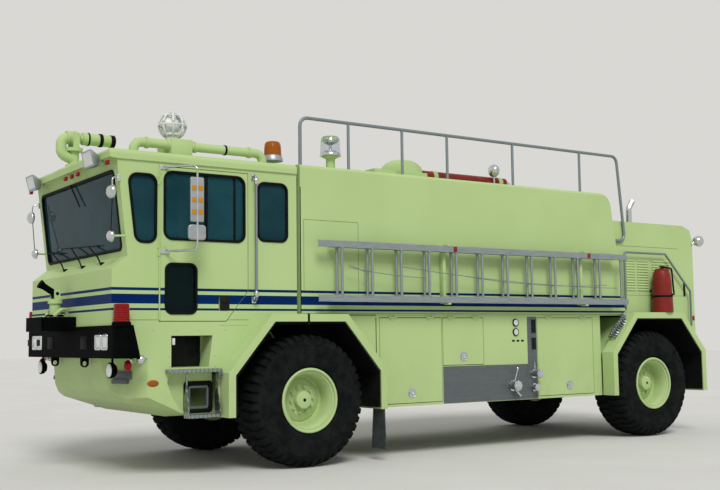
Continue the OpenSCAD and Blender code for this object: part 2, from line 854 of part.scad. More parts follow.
module bumper_turret_nozzle() {
    color("black") station() translate([bumper_turret_x, 0, bumper_turret_z]) {
        trunnion(bumper_ball);
        rotate([0, -58, 0]) barrel(bumper_ball, [0, 0], [36, 150], [52, 60]);
    }
}

roof_turret_pos = [-2195, 150];
roof_turret_z = cab_height + 350;
roof_ball = 72;
roof_tail = [54, 100];

module roof_turret_swivel() {
    neck = roof_turret_z - norm(roof_tail) - 8;
    color("yellowgreen") station() translate([roof_turret_pos[0], roof_turret_pos[1], 0]) {
        translate([0, 0, cab_height + seat_clearance]) cylinder(h = 30, r = 95);
        translate([0, 0, cab_height + 30]) cylinder(h = neck - cab_height - 30, r = 60);
        translate([0, 0, neck - 40]) cylinder(h = 40, r = 100);
        translate([0, 0, roof_turret_z]) cheeks(roof_ball, norm(roof_tail) + 18, 50, 36);
    }
}

module roof_turret_barrel() {
    color("yellowgreen") station() translate([roof_turret_pos[0], roof_turret_pos[1], roof_turret_z]) {
        trunnion(roof_ball);
        rotate([0, 90, 0]) barrel(roof_ball, roof_tail, [50, 350], [60, 110]);
    }
}

roof_light_y = 1100;
floodlight_y = 980;

module roof_lights() {
    color("orange") station() {
        both_sides() side_plate(floodlight_y - 140, floodlight_y + 140) polygon([
            [brow_x, header_z + 118], [brow_x - 104, header_z + 104], [brow_x - 110, header_z + 76],
            [brow_x - 16, header_z - 78], [brow_x, header_z - 78],
        ]);
        translate([-260, -roof_light_y, cab_height]) {
            cylinder(h = 130, r = 90);
            translate([0, 0, 130]) cylinder(h = 180, r = 105);
        }
        translate([540, -roof_light_y, tank_height]) {
            cylinder(h = 140, r = 60);
            translate([0, 0, 140]) cylinder(h = 290, r = 125);
        }
        translate([-1480, -1000, cab_height]) {
            box([-125, -110, 0], [125, 110, 200]);
            translate([0, 0, 350]) rotate([0, -90, 0]) cylinder(h = 150, r = 165);
        }
    }
}

// Outline of the tank body in x and z
function tank_outline() = concat(
    [[tank_front, ledge_z], [tank_front, tank_height]],
    [for (k = [0 : 8]) [
        tank_rear_slope[0][0] - tank_round * (1 - sin(90 * k / 8)),
        tank_height - tank_round * (1 - cos(90 * k / 8)),
    ]],
    tank_rear_slope
);

module tank_body() {
    color("yellowgreen") station() {
        intersection() {
            cross_profile(body_y) polygon(tank_outline());
            long_profile(-100, 5600) round_rect([-body_y, ledge_z - 200], [body_y, tank_height], 45);
        }
        box([keel_x[0], -keel_y, frame_top], [keel_x[1], keel_y, ledge_z]);
    }
}

bay_top = ledge_z - 32;
panel_set_in = 10;
panel_proud = 2;

// Places a compartment door's hinges along its top edge
module hatch_hinges(i) {
    h = hatches[i];
    for (share = [0.2, 0.8])
        translate([h[0] + share * (h[1] - h[0]), -compartment_y - hinge_radius, bay_top - hatch_gap / 2])
            rotate([0, 90, 0]) children();
}

module lower_side() {
    for (i = [0 : len(hatches) - 1]) hatch_hinges(i) hinge_fixed();
    difference() {
        box([keel_x[0], -compartment_y, skirt_z], [keel_x[1], -keel_y, ledge_z]);
        for (h = hatches)
            box([h[0], -compartment_y - 1, h[2]], [h[1], -compartment_y + bay_depth, bay_top]);
        side_plate(compartment_y - panel_set_in, compartment_y + 1) pump_outline();
    }
}

// The grey panel's outline: a wide foot with a narrow upright at its rear
module pump_outline() {
    polygon([
        [2058, skirt_z + 6], [3670, skirt_z + 6], [3670, 1700], [3500, 1700], [3500, 1076], [2058, 1076],
    ]);
}

module lower_body() {
    color("yellowgreen") station() both_sides() lower_side();
}

module hatch(i) {
    h = hatches[i];
    box([h[0] + hatch_gap, -compartment_y, h[2] + hatch_gap],
        [h[1] - hatch_gap, -compartment_y + hatch_thick, bay_top - hatch_gap]);
    hatch_hinges(i) hinge_moving();
}

module hatch_left_front() { color("yellowgreen") station() hatch(0); }
module hatch_left_middle() { color("yellowgreen") station() hatch(1); }
module hatch_left_rear() { color("yellowgreen") station() hatch(2); }
module hatch_right_front() { color("yellowgreen") station() mirror([0, 1, 0]) hatch(0); }
module hatch_right_middle() { color("yellowgreen") station() mirror([0, 1, 0]) hatch(1); }
module hatch_right_rear() { color("yellowgreen") station() mirror([0, 1, 0]) hatch(2); }

// Outlets on the grey panel: x, height, radius and reach
outlets = [[3210, 800, 52, 130], [3590, 945, 40, 150], [3590, 765, 34, 100]];

module pump_panels() {
    color("gray") station() both_sides() {
        side_plate(compartment_y - panel_set_in, compartment_y + panel_proud) pump_outline();
        for (o = outlets) translate([o[0], -compartment_y - panel_proud, o[1]]) rotate([90, 0, 0])
            cylinder(h = o[3], r = o[2]);
    }
}

// Outline of a wheel arch, widened by a band: half width of the top, half width of the legs,
// height of the shoulders and height of the top
function arch(a, band) = [
    [-a[1] - band, skirt_z], [-a[1] - band, a[2] + 0.36 * band], [-a[0] - 0.43 * band, a[3] + band],
    [a[0] + 0.43 * band, a[3] + band], [a[1] + band, a[2] + 0.36 * band], [a[1] + band, skirt_z],
];
front_arch = [466, 957, 1058, ledge_z - flare_band];
rear_arch = [478, 912, 1178, hood_foot - flare_band];
liner = 24;

module arch_ring(a, band, inner, outer) {
    side_plate(inner, outer) difference() {
        polygon(arch(a, band));
        offset_down(a);
    }
}

module offset_down(a) {
    polygon(arch(a, 0));
    translate([-a[1], skirt_z - 10]) square([2 * a[1], 20]);
}

module flares(x, a) {
    station() translate([x, 0, 0]) both_sides() {
        arch_ring(a, flare_band, body_y, flare_y);
        arch_ring(a, liner, frame_y, body_y);
    }
}

module front_flares() { color("yellowgreen") flares(front_arch_x, front_arch); }
module rear_flares() { color("yellowgreen") flares(rear_arch_x, rear_arch); }

// Rubber flaps that hang behind the front wheels
module mud_flaps() {
    thick = 12;
    color("black") station() both_sides() side_place(990, thick)
        polygon([[1285, skirt_z], [1245, 140], [1530, 140], [1515, skirt_z]]);
}

// Outline of the engine cover, smaller by an inset on the top, the rear and the foot
function hood_outline(inset) = [
    [5202 + inset / 4, hood_top - inset], [hood_back - 220, hood_top - inset],
    [hood_back - 50 - inset / 2, 3030 - inset], [hood_back - inset, 2880 - inset],
    [hood_back - inset, hood_bottom - inset], [rear_arch_x + 790, hood_bottom - inset],
    [rear_arch_x + 550, hood_foot - inset], [5412 + inset / 4, hood_foot - inset],
];
rear_opening = [hood_y - 75, 1540, 2860];

louvre_depth = 14;
louvre_pitch = 39;
// Louvre columns on the engine cover's side: front edge, rear edge
louvre_columns = [[5543, 5735], [5779, 6010], [6107, 6489]];
louvre_foot = 2086;
louvre_rows = 12;

// A column of louvres of a width, facing -Y, from its foot up
module louvres(width, rows) {
    for (i = [0 : rows - 1]) translate([0, 0, i * louvre_pitch])
        long_profile(0, width) polygon([[2, 0], [-louvre_depth, 4], [-louvre_depth, 9], [2, 30]]);
}

// Places a rear door's hinges along its outer edge
module rear_door_hinges() {
    for (z = [rear_opening[1] + 220, rear_opening[2] - 220])
        translate([hood_back + hinge_radius, -rear_opening[0] + hatch_gap / 2, z]) rotate([0, 0, 90]) children();
}

module hood() {
    color("yellowgreen") station() {
        both_sides() {
            rear_door_hinges() hinge_fixed();
            for (c = louvre_columns) translate([c[0], -hood_y, louvre_foot]) louvres(c[1] - c[0], louvre_rows);
        }
        difference() {
            cross_profile(hood_y) polygon(hood_outline(0));
            cross_profile(hood_y - hood_wall) polygon(hood_outline(hood_wall));
            box([hood_back - 100, -rear_opening[0], rear_opening[1]],
                [hood_back + 1, rear_opening[0], rear_opening[2]]);
        }
    }
}

module rear_door() {
    rear_door_hinges() hinge_moving();
    translate([hood_back, -rear_opening[0] + 200, 1800]) rotate([0, 0, 90]) louvres(rear_opening[0] - 330, 20);
    box([hood_back - hood_wall, -rear_opening[0] + hatch_gap, rear_opening[1] + hatch_gap],
        [hood_back, -hatch_gap / 2, rear_opening[2] - hatch_gap]);
}

module rear_door_left() { color("yellowgreen") station() rear_door(); }
module rear_door_right() { color("yellowgreen") station() mirror([0, 1, 0]) rear_door(); }

module engine() {
    color("dimgray") station() box([5820, -400, frame_top], [6900, 400, 2150]);
}

module exhaust() {
    color("silver") station()
        tube(bent([[5800, -1100, hood_top], [5800, -1100, 3310], [5880, -1100, 3420]], 80), 90);
}

module tailboard() {
    color("yellowgreen") station() {
        box([hood_back - tail_wall, -hood_y, 1130], [hood_back, hood_y, hood_bottom]);
        box([hood_back - tail_wall, -hood_y, 1000], [rear_reach, hood_y, 1130]);
    }
}

ladder_low = 1905;
ladder_high = 2537;
ladder_y = body_y + 170;
ladder_front = 115;
ladder_back = 5290;
rung_pitch = 429;
rung_first = 445;

rungs = 12;
rail_depth = 30;
nested = 62;
ladder_clip = 22;
ladder_brackets = [2033, 4456];

// Two nested ladder sections lying on their side, and the brackets that carry them
module ladder() {
    back = -ladder_y + nested + rail_depth;
    low = ladder_low - ladder_rail / 2;
    high = ladder_high + ladder_rail / 2;
    color("silver") station() {
        for (y = [0, nested]) {
            for (z = [low, high - ladder_rail])
                box([ladder_front + 3 * y, -ladder_y + y, z],
                    [ladder_back - 3 * y, -ladder_y + y + rail_depth, z + ladder_rail]);
            for (i = [0 : rungs - (y == 0 ? 1 : 2)])
                translate([rung_first + rung_pitch * i - y / 2, -ladder_y + y + rail_depth / 2, ladder_low])
                    cylinder(h = ladder_high - ladder_low, d = rung_diameter, $fn = 20);
        }
        for (x = ladder_brackets) {
            box([x - 25, back, low - ladder_clip], [x + 25, -body_y, high + ladder_clip]);
            for (z = [low - ladder_clip, high]) box([x - 25, -ladder_y - 6, z], [x + 25, back, z + ladder_clip]);
        }
    }
}

handrail_y = body_y - 58;
handrail_z = tank_height + 565;
handrail_foot = 2800;
posts = [694, 1500, 2220, 3350, 4620];

// Where the tank's sloping rear is at a height
function tank_slope_x(z) = let (a = tank_rear_slope[0], b = tank_rear_slope[1])
    a[0] + (b[0] - a[0]) * (a[1] - z) / (a[1] - b[1]);

module handrail() {
    y = -handrail_y;
    color("silver") station() {
        tube(bent([
            [15, y, tank_height], [15, y, handrail_z], [5380, y, handrail_z], [5510, y, handrail_foot],
            [tank_slope_x(handrail_foot) + 3, y, handrail_foot],
        ], 100), handrail_diameter);
        for (x = posts) rod([x, y, tank_height], [x, y, handrail_z], 36);
    }
}

module grab_rails() {
    off = body_y + 70;
    hood_off = hood_y + 70;
    roof_pipe_y = body_y - 130;
    color("gray") station() {
        both_sides() {
            tube(bent([[-640, -body_y, 3270], [-640, -off, 3270], [-640, -off, 1870], [-640, -body_y, 1870]], 36, 2),
                grab_diameter, [1, 0, 0], 8);
            tube(bent([
                [5440, -hood_y, 1800], [5440, -hood_off, 1800], [5440, -hood_off, 2635], [6330, -hood_off, 2635],
                [6875, -hood_off, 2090], [6875, -hood_off, 1560], [6875, -hood_y, 1560],
            ], 36, 2), grab_diameter, [1, 1, 0.2], 8);
        }
        tube(bent([
            [-2010, -roof_pipe_y, cab_height], [-2010, -roof_pipe_y, cab_height + 125],
            [-450, -roof_pipe_y, cab_height + 125], [-450, -roof_pipe_y, cab_height],
        ], 60, 3), 60, [0, 1, 0], 10);
    }
}

module extinguishers() {
    color("red") station() {
        translate([6110, -body_y - 102, hood_foot]) cylinder(h = 640, r = 100);
        translate([2080, -900, tank_height + 75]) rotate([0, 90, 0]) cylinder(h = 1430, r = 75);
    }
}

module roof_hatch() {
    color("yellowgreen") station() {
        box([1190, -1100, tank_height], [2020, -300, tank_height + 80]);
        intersection() {
            translate([1800, -700, tank_height - 120]) sphere(r = 300);
            box([1400, -1100, tank_height + 80], [2200, -300, tank_height + 400]);
        }
    }
}

frame();
springs();
front_axle();
rear_axle();
driveline();
knuckle_left();
knuckle_right();
front_left_tyre();
front_left_rim();
front_right_tyre();
front_right_rim();
rear_left_tyre();
rear_left_rim();
rear_right_tyre();
rear_right_rim();
cab_body();
cab_front();
cab_roof();
cab_glass();
cab_skirt();
cab_steps();
door_left();
door_right();
door_glass_left();
door_glass_right();
mirror_left();
mirror_right();
seats();
dash();
bumper();
front_lamps();
bumper_turret_swivel();
bumper_turret_nozzle();
roof_turret_swivel();
roof_turret_barrel();
roof_lights();
tank_body();
lower_body();
hatch_left_front();
hatch_left_middle();
hatch_left_rear();
hatch_right_front();
hatch_right_middle();
hatch_right_rear();
pump_panels();
front_flares();
rear_flares();
mud_flaps();
hood();
rear_door_left();
rear_door_right();
engine();
exhaust();
tailboard();
ladder();
handrail();
grab_rails();
extinguishers();
roof_hatch();
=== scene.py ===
"""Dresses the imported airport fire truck: paint, glass, rubber, lamps, trim and small parts of its surface.

Lengths are in metres. Places are written from the front axle's middle on the ground, with the front at -X
and the driver's side at -Y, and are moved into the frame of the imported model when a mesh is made.
"""

import math

import bpy
import numpy as np
from mathutils import Matrix


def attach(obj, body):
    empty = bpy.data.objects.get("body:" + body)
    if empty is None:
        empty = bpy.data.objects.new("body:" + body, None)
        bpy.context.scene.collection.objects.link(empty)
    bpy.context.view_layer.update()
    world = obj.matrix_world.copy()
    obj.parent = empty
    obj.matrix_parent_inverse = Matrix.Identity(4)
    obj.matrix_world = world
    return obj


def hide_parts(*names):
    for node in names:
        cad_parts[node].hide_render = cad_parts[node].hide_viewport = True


bl_info = {
    "name": "Airport fire truck",
    "version": (1, 0, 0),
    "blender": (4, 5, 0),
    "location": "3D View > Sidebar > Fire truck",
    "description": "Builds the looks of an airport fire truck round its packed parts",
    "category": "Add Mesh",
}

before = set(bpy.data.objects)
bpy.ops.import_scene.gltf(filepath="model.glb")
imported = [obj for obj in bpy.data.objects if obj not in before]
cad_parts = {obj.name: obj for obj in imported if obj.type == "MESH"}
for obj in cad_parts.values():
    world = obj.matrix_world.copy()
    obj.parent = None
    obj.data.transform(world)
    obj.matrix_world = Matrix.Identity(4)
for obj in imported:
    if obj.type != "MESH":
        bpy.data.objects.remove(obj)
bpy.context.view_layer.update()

AXLE = np.array([-2.27, 0.0, 0.0])
WHEELBASE = 5.78
TYRE_RADIUS = 0.75
TYRE_WIDTH = 0.57
WHEEL_Y = 1.215
BODY_Y = 1.32
SEAM_Y = BODY_Y + 0.0005
PHOTO_SIZE = (720, 490)
WHEELS = [
    ("front_left", 0.0, -1, "front_wheel_left"),
    ("front_right", 0.0, 1, "front_wheel_right"),
    ("rear_left", WHEELBASE, -1, "rear_wheel_left"),
    ("rear_right", WHEELBASE, 1, "rear_wheel_right"),
]


# Shapes

class Shape:
    """Points, the corners of all faces in one row, and the number of corners of each face."""

    def __init__(self, points, corners, sizes):
        self.points = np.asarray(points, float).reshape(-1, 3)
        self.corners = np.asarray(corners, np.int64).ravel()
        self.sizes = np.asarray(sizes, np.int64).ravel()

    def flipped(self):
        """The same faces with their corners in the opposite order."""
        starts = np.repeat(np.cumsum(self.sizes) - self.sizes, self.sizes)
        ends = starts + np.repeat(self.sizes, self.sizes) - 1
        return Shape(self.points, self.corners[starts + ends - np.arange(len(self.corners))], self.sizes)

    def moved(self, *offset):
        """The shape shifted by an offset."""
        return Shape(self.points + np.array(offset, float), self.corners, self.sizes)

    def turned(self, matrix):
        """The shape with each point multiplied by a 3 by 3 matrix, kept right side out."""
        made = Shape(self.points @ np.asarray(matrix, float).T, self.corners, self.sizes)
        return made.flipped() if np.linalg.det(matrix) < 0 else made

    def mirrored(self):
        """The shape on the other side of the truck."""
        return self.turned(np.diag([1.0, -1.0, 1.0]))


def joined(shapes):
    """All shapes in one, with each shape's corner numbers shifted past the points before it."""
    counts = np.cumsum([0] + [len(s.points) for s in shapes])
    corners = [s.corners + start for s, start in zip(shapes, counts)]
    return Shape(np.concatenate([s.points for s in shapes]), np.concatenate(corners),
                 np.concatenate([s.sizes for s in shapes]))


def outward(shape):
    """A closed shape with its faces outwards: they are flipped where its volume comes out negative.

    The volume is the sum of the pyramids from the origin to the fan of triangles of each face.
    """
    starts = np.cumsum(shape.sizes) - shape.sizes
    owner = np.repeat(np.arange(len(shape.sizes)), shape.sizes)
    local = np.arange(len(shape.corners)) - starts[owner]
    inner = (local > 0) & (local < shape.sizes[owner] - 1)
    first = shape.points[shape.corners[starts[owner[inner]]]]
    place = np.nonzero(inner)[0]
    volume = np.einsum("ij,ij->i", first, np.cross(shape.points[shape.corners[place]],
                                                   shape.points[shape.corners[place + 1]])).sum()
    return shape.flipped() if volume < 0 else shape


def skin(rings, closed=False, caps=True):
    """A skin over rings of equally many points: quads between neighbouring rings, a face over each end.

    With closed, the last ring joins the first and there are no ends.
    """
    rings = np.asarray(rings, float)
    count, size = rings.shape[:2]
    index = np.arange(count * size).reshape(count, size)
    rows = index if closed else index[:-1]
    after = np.roll(index, -1, axis=0) if closed else index[1:]
    quads = np.stack([rows, np.roll(rows, -1, axis=1), np.roll(after, -1, axis=1), after],
                     axis=-1).reshape(-1, 4)
    corners, sizes = [quads.ravel()], [np.full(len(quads), 4)]
    if caps and not closed:
        corners += [index[0][::-1], index[-1]]
        sizes += [[size], [size]]
    return outward(Shape(rings, np.concatenate(corners), np.concatenate(sizes)))


AXES = {"x": np.array([[0, 0, 1], [1, 0, 0], [0, 1, 0]], float),
        "y": np.array([[1, 0, 0], [0, 0, 1], [0, 1, 0]], float),
        "z": np.eye(3)}


def lathe(profile, at=(0, 0, 0), axis="z", steps=48, closed=False):
    """A profile of (radius, height) turned about an axis through a place: point = (r cos t, r sin t, h)."""
    profile = np.asarray(profile, float)
    t = np.linspace(0, 2 * np.pi, steps, endpoint=False)
    rings = np.stack([np.outer(profile[:, 0], np.cos(t)), np.outer(profile[:, 0], np.sin(t)),
                      np.repeat(profile[:, 1:2], steps, axis=1)], axis=-1)
    return outward(skin(rings @ AXES[axis].T, closed)).moved(*at)


def rounded_corners(points, radius, steps=4):
    """An outline whose corners are arcs: each arc runs between the points where the two sides leave it."""
    p = np.asarray(points, float)
    radius = np.broadcast_to(np.asarray(radius, float), len(p))[:, None]
    u = np.roll(p, 1, axis=0) - p
    v = np.roll(p, -1, axis=0) - p
    u /= np.linalg.norm(u, axis=1, keepdims=True)
    v /= np.linalg.norm(v, axis=1, keepdims=True)
    half = np.arccos(np.clip((u * v).sum(axis=1, keepdims=True), -1, 1)) / 2
    middle = p + (u + v) / np.linalg.norm(u + v, axis=1, keepdims=True) * radius / np.sin(half)
    start = p + u * radius / np.tan(half) - middle
    end = p + v * radius / np.tan(half) - middle
    turn = np.pi - 2 * half
    k = np.linspace(0, 1, steps + 1)[None, :, None]
    arcs = (start[:, None] * np.sin(turn[:, None] * (1 - k)) + end[:, None] * np.sin(turn[:, None] * k)) \
        / np.sin(turn)[:, None]
    return (middle[:, None] + arcs).reshape(-1, 2)


def rectangle(low, high, radius=0.0, steps=4):
    """A rectangle's outline, with round corners where a radius is given."""
    corners = [[low[0], low[1]], [high[0], low[1]], [high[0], high[1]], [low[0], high[1]]]
    return rounded_corners(corners, radius, steps) if radius else np.array(corners, float)


def circle(middle, radius, steps=24):
    """A circle's outline."""
    t = np.linspace(0, 2 * np.pi, steps, endpoint=False)
    return np.stack([middle[0] + radius * np.cos(t), middle[1] + radius * np.sin(t)], axis=-1)


def inset(outline, distance):
    """An outline moved inwards: each point moves along the bisector of its two sides' normals."""
    p = np.asarray(outline, float)
    forward = np.roll(p, -1, axis=0) - p
    forward /= np.maximum(np.linalg.norm(forward, axis=1, keepdims=True), 1e-9)
    area = (p[:, 0] * np.roll(p[:, 1], -1) - p[:, 1] * np.roll(p[:, 0], -1)).sum()
    normal = np.stack([-forward[:, 1], forward[:, 0]], axis=-1) * (1 if area > 0 else -1)
    before = np.roll(normal, 1, axis=0)
    bisector = (normal + before) / (1 + (normal * before).sum(axis=1, keepdims=True))
    return p + bisector * distance


def slab(outline, low, high, axis="y", edge=0.004, steps=3):
    """A plate with an outline, between two heights on an axis, with its edges rounded to a radius.

    Ring k stands edge (1 - cos t) inside the end and edge (1 - sin t) inside the outline.
    """
    t = np.linspace(0, np.pi / 2, steps + 1)
    flat = [inset(outline, edge * (1 - math.sin(a))) for a in t]
    heights = [low + edge * (1 - math.cos(a)) for a in t]
    flat += flat[::-1]
    heights += [high + low - h for h in heights[::-1]]
    rings = np.stack([np.column_stack([f, np.full(len(f), h)]) for f, h in zip(flat, heights)])
    order = {"x": [2, 0, 1], "y": [0, 2, 1], "z": [0, 1, 2]}[axis]
    return outward(skin(rings[..., order]))


def block(low, high, edge=0.004, steps=2):
    """A box with rounded edges."""
    return slab(rectangle(low[:2], high[:2], edge, steps), low[2], high[2], "z", edge, steps)


def softened(path, radius, steps=5):
    """A path in space whose inner corners are arcs."""
    p = np.asarray(path, float)
    u, v = p[:-2] - p[1:-1], p[2:] - p[1:-1]
    u /= np.linalg.norm(u, axis=1, keepdims=True)
    v /= np.linalg.norm(v, axis=1, keepdims=True)
    half = np.arccos(np.clip((u * v).sum(axis=1, keepdims=True), -1, 1)) / 2
    middle = p[1:-1] + (u + v) / np.linalg.norm(u + v, axis=1, keepdims=True) * radius / np.sin(half)
    start = p[1:-1] + u * radius / np.tan(half) - middle
    end = p[1:-1] + v * radius / np.tan(half) - middle
    turn = (np.pi - 2 * half)[:, None]
    k = np.linspace(0, 1, steps + 1)[None, :, None]
    arcs = middle[:, None] + (start[:, None] * np.sin(turn * (1 - k)) + end[:, None] * np.sin(turn * k)) \
        / np.sin(turn)
    return np.concatenate([p[:1], arcs.reshape(-1, 3), p[-1:]])


def swept(path, outline, side=(0, 1, 0), closed=False):
    """An outline carried along a path: it stands across the path, with its first axis along side."""
    p = np.asarray(path, float)
    if closed:
        tangent = np.roll(p, -1, axis=0) - np.roll(p, 1, axis=0)
    else:
        steps = np.diff(p, axis=0)
        steps /= np.linalg.norm(steps, axis=1, keepdims=True)
        tangent = np.concatenate([steps[:1], steps[:-1] + steps[1:], steps[-1:]])
    tangent /= np.linalg.norm(tangent, axis=1, keepdims=True)
    side = np.asarray(side, float)
    across = side - (tangent @ side)[:, None] * tangent
    across /= np.linalg.norm(across, axis=1, keepdims=True)
    over = np.cross(tangent, across)
    outline = np.asarray(outline, float)
    rings = p[:, None] + across[:, None] * outline[None, :, 0:1] + over[:, None] * outline[None, :, 1:2]
    return outward(skin(rings, closed))


def tube(path, radius, side=(0, 1, 0), steps=12, closed=False):
    """A round tube along a path."""
    return swept(path, circle((0, 0), radius, steps), side, closed)


def rod(a, b, radius, steps=12):
    """A straight round bar between two points."""
    way = np.subtract(b, a)
    side = (0, 0, 1) if abs(way[2]) < 0.8 * np.linalg.norm(way) else (0, 1, 0)
    return tube([a, b], radius, side, steps)


def band(inner, outer, half, edge):
    """The profile of a band round a bar: two radii, half its width, and the bevel of its outer edges."""
    return [[inner, -half], [outer, edge - half], [outer, half - edge], [inner, half]]


def repeated(shape, places):
    """The shape once at every place."""
    return joined([shape.moved(*p) for p in places])


def spin(angle, axis="z"):
    """The matrix that turns by an angle in degrees about an axis."""
    c, s = math.cos(math.radians(angle)), math.sin(math.radians(angle))
    return {"x": np.array([[1, 0, 0], [0, c, -s], [0, s, c]]),
            "y": np.array([[c, 0, s], [0, 1, 0], [-s, 0, c]]),
            "z": np.array([[c, -s, 0], [s, c, 0], [0, 0, 1]])}[axis]


def piece(name, shapes, material, body="chassis", slot=None, smooth=35, stands_for=()):
    """Makes one object of a list of shapes, moved from the axle's place into the model's frame."""
    made = joined(shapes if isinstance(shapes, list) else [shapes])
    mesh = bpy.data.meshes.new(name)
    mesh.vertices.add(len(made.points))
    mesh.vertices.foreach_set("co", (made.points + AXLE).astype(np.float32).ravel())
    mesh.loops.add(len(made.corners))
    mesh.loops.foreach_set("vertex_index", made.corners.astype(np.int32))
    mesh.polygons.add(len(made.sizes))
    mesh.polygons.foreach_set("loop_start", (np.cumsum(made.sizes) - made.sizes).astype(np.int32))
    mesh.update(calc_edges=True)
    mesh.validate()
    mesh.polygons.foreach_set("use_smooth", np.ones(len(mesh.polygons), bool))
    mesh.set_sharp_from_angle(angle=math.radians(smooth))
    mesh.materials.append(FINISHES[material])
    made_object = bpy.data.objects.new(name, mesh)
    bpy.context.scene.collection.objects.link(made_object)
    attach(made_object, body)
    if stands_for:
        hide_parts(*stands_for)
    return made_object


def pair(name, shapes, material, body="chassis", stands_for=(), **more):
    """Makes a piece for each side: braces in its body and in the nodes that it stands for take the side."""
    for side in ("left", "right"):
        made = shapes if side == "left" else [s.mirrored() for s in shapes]
        piece(f"{name}_{side}", made, material, body.format(side),
              stands_for=[node.format(side) for node in stands_for], **more)


def dress(node, material):
    """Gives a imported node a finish."""
    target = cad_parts[node].data
    target.materials.clear()
    target.materials.append(FINISHES[material])


# Finishes

def linear(colour):
    """Turns an sRGB hex colour into linear red, green, blue and alpha."""
    parts = np.array([int(colour[i:i + 2], 16) for i in (1, 3, 5)]) / 255
    made = np.where(parts <= 0.04045, parts / 12.92, ((parts + 0.055) / 1.055) ** 2.4)
    return (*made.tolist(), 1.0)


def add(tree, kind, settings=None, values=None, links=None):
    """Adds a node, sets its properties and inputs, and links other nodes' outputs to its inputs."""
    node = tree.nodes.new(kind)
    for key, value in (settings or {}).items():
        setattr(node, key, value)
    for key, value in (values or {}).items():
        node.inputs[key].default_value = value
    for key, source in (links or {}).items():
        tree.links.new(source, node.inputs[key])
    return node


FINISHES = {}


def finish(name, **values):
    """Starts a finish: a material with its shader, whose constant values are set on its own sockets."""
    material = bpy.data.materials.new("truck_" + name)
    FINISHES[name] = material
    material.use_nodes = True
    tree = material.node_tree
    tree.nodes.clear()
    shader = add(tree, "ShaderNodeBsdfPrincipled", values=values)
    add(tree, "ShaderNodeOutputMaterial", links={"Surface": shader.outputs[0]})
    place = add(tree, "ShaderNodeTexCoord").outputs["Object"]
    return tree, shader, place


def clouded(tree, place, size, first, second, detail=4.0):
    """A colour that wanders between two hex colours in clouds of a size in metres."""
    noise = add(tree, "ShaderNodeTexNoise", values={"Scale": 1 / size, "Detail": detail, "Roughness": 0.6},
                links={"Vector": place})
    share = add(tree, "ShaderNodeMapRange", values={"From Min": 0.36, "From Max": 0.66},
                links={"Value": noise.outputs[0]})
    return add(tree, "ShaderNodeMix", {"data_type": "RGBA"}, {6: linear(first), 7: linear(second)},
               {0: share.outputs[0]}).outputs[2]


def rippled(tree, shader, place, size, depth, strength=0.3, detail=2.0):
    """Lets the surface rise and fall by a depth in metres over grains of a size in metres."""
    noise = add(tree, "ShaderNodeTexNoise", values={"Scale": 1 / size, "Detail": detail},
                links={"Vector": place})
    raised(tree, shader, noise.outputs[0], depth, strength)


def raised(tree, shader, height, depth, strength):
    """Lets a height in 0 to 1 stand out of the surface by a depth in metres."""
    bump = add(tree, "ShaderNodeBump", values={"Strength": strength, "Distance": depth},
               links={"Height": height})
    tree.links.new(bump.outputs[0], shader.inputs["Normal"])


def dusted(tree, place, colour, dust, low, high, most):
    """Lays dust over a colour: most at the height low, none at the height high, broken up into clouds."""
    parts = add(tree, "ShaderNodeSeparateXYZ", links={"Vector": place})
    share = add(tree, "ShaderNodeMapRange", values={"From Min": low, "From Max": high, "To Min": most,
                                                    "To Max": 0.0},
                links={"Value": parts.outputs["Z"]})
    noise = add(tree, "ShaderNodeTexNoise", values={"Scale": 6.0, "Detail": 5.0}, links={"Vector": place})
    cloud = add(tree, "ShaderNodeMapRange", values={"From Min": 0.35, "From Max": 0.7, "To Min": 0.25},
                links={"Value": noise.outputs[0]})
    mask = add(tree, "ShaderNodeMath", {"operation": "MULTIPLY"},
               links={0: share.outputs[0], 1: cloud.outputs[0]})
    return add(tree, "ShaderNodeMix", {"data_type": "RGBA"}, {7: linear(dust)},
               {0: mask.outputs[0], 6: colour}).outputs[2]


# Middle and half height of each stripe from the top down, the end of all, and where the nose begins
STRIPES = [(1.983, 0.015), (1.880, 0.050), (1.772, 0.012)]
STRIPE_END = 5.40
NOSE_X = -2.286


def striped(tree, place, ground, stripe):
    """Lays the stripes over a colour, on the truck's sides and its nose, as far back as the tank body."""
    parts = add(tree, "ShaderNodeSeparateXYZ", links={"Vector": place})
    x, y, z = (parts.outputs[k] for k in "XYZ")
    lines = [add(tree, "ShaderNodeMath", {"operation": "COMPARE"}, {1: middle, 2: half}, {0: z}).outputs[0]
             for middle, half in STRIPES]
    across = add(tree, "ShaderNodeMath", {"operation": "ABSOLUTE"}, links={0: y}).outputs[0]
    side = add(tree, "ShaderNodeMath", {"operation": "GREATER_THAN"}, {1: BODY_Y - 0.004},
               {0: across}).outputs[0]
    nose = add(tree, "ShaderNodeMath", {"operation": "LESS_THAN"}, {1: AXLE[0] + NOSE_X},
               {0: x}).outputs[0]
    ahead = add(tree, "ShaderNodeMath", {"operation": "LESS_THAN"}, {1: AXLE[0] + STRIPE_END},
                {0: x}).outputs[0]
    mask = lines[0]
    for operation, term in (("MAXIMUM", lines[1]), ("MAXIMUM", lines[2])):
        mask = add(tree, "ShaderNodeMath", {"operation": operation}, links={0: mask, 1: term}).outputs[0]
    outside = add(tree, "ShaderNodeMath", {"operation": "MAXIMUM"}, links={0: side, 1: nose}).outputs[0]
    for term in (outside, ahead):
        mask = add(tree, "ShaderNodeMath", {"operation": "MULTIPLY"}, links={0: mask, 1: term}).outputs[0]
    return add(tree, "ShaderNodeMix", {"data_type": "RGBA"}, {7: linear(stripe)},
               {0: mask, 6: ground}).outputs[2]


# The wall behind a front wheel arch: its place along, and the reach across and up of the black painted shade
# laid on it
SHADED_WALL_X = 1.04
SHADED_HALF_WIDTH = 1.31
SHADED_TOP = 1.68


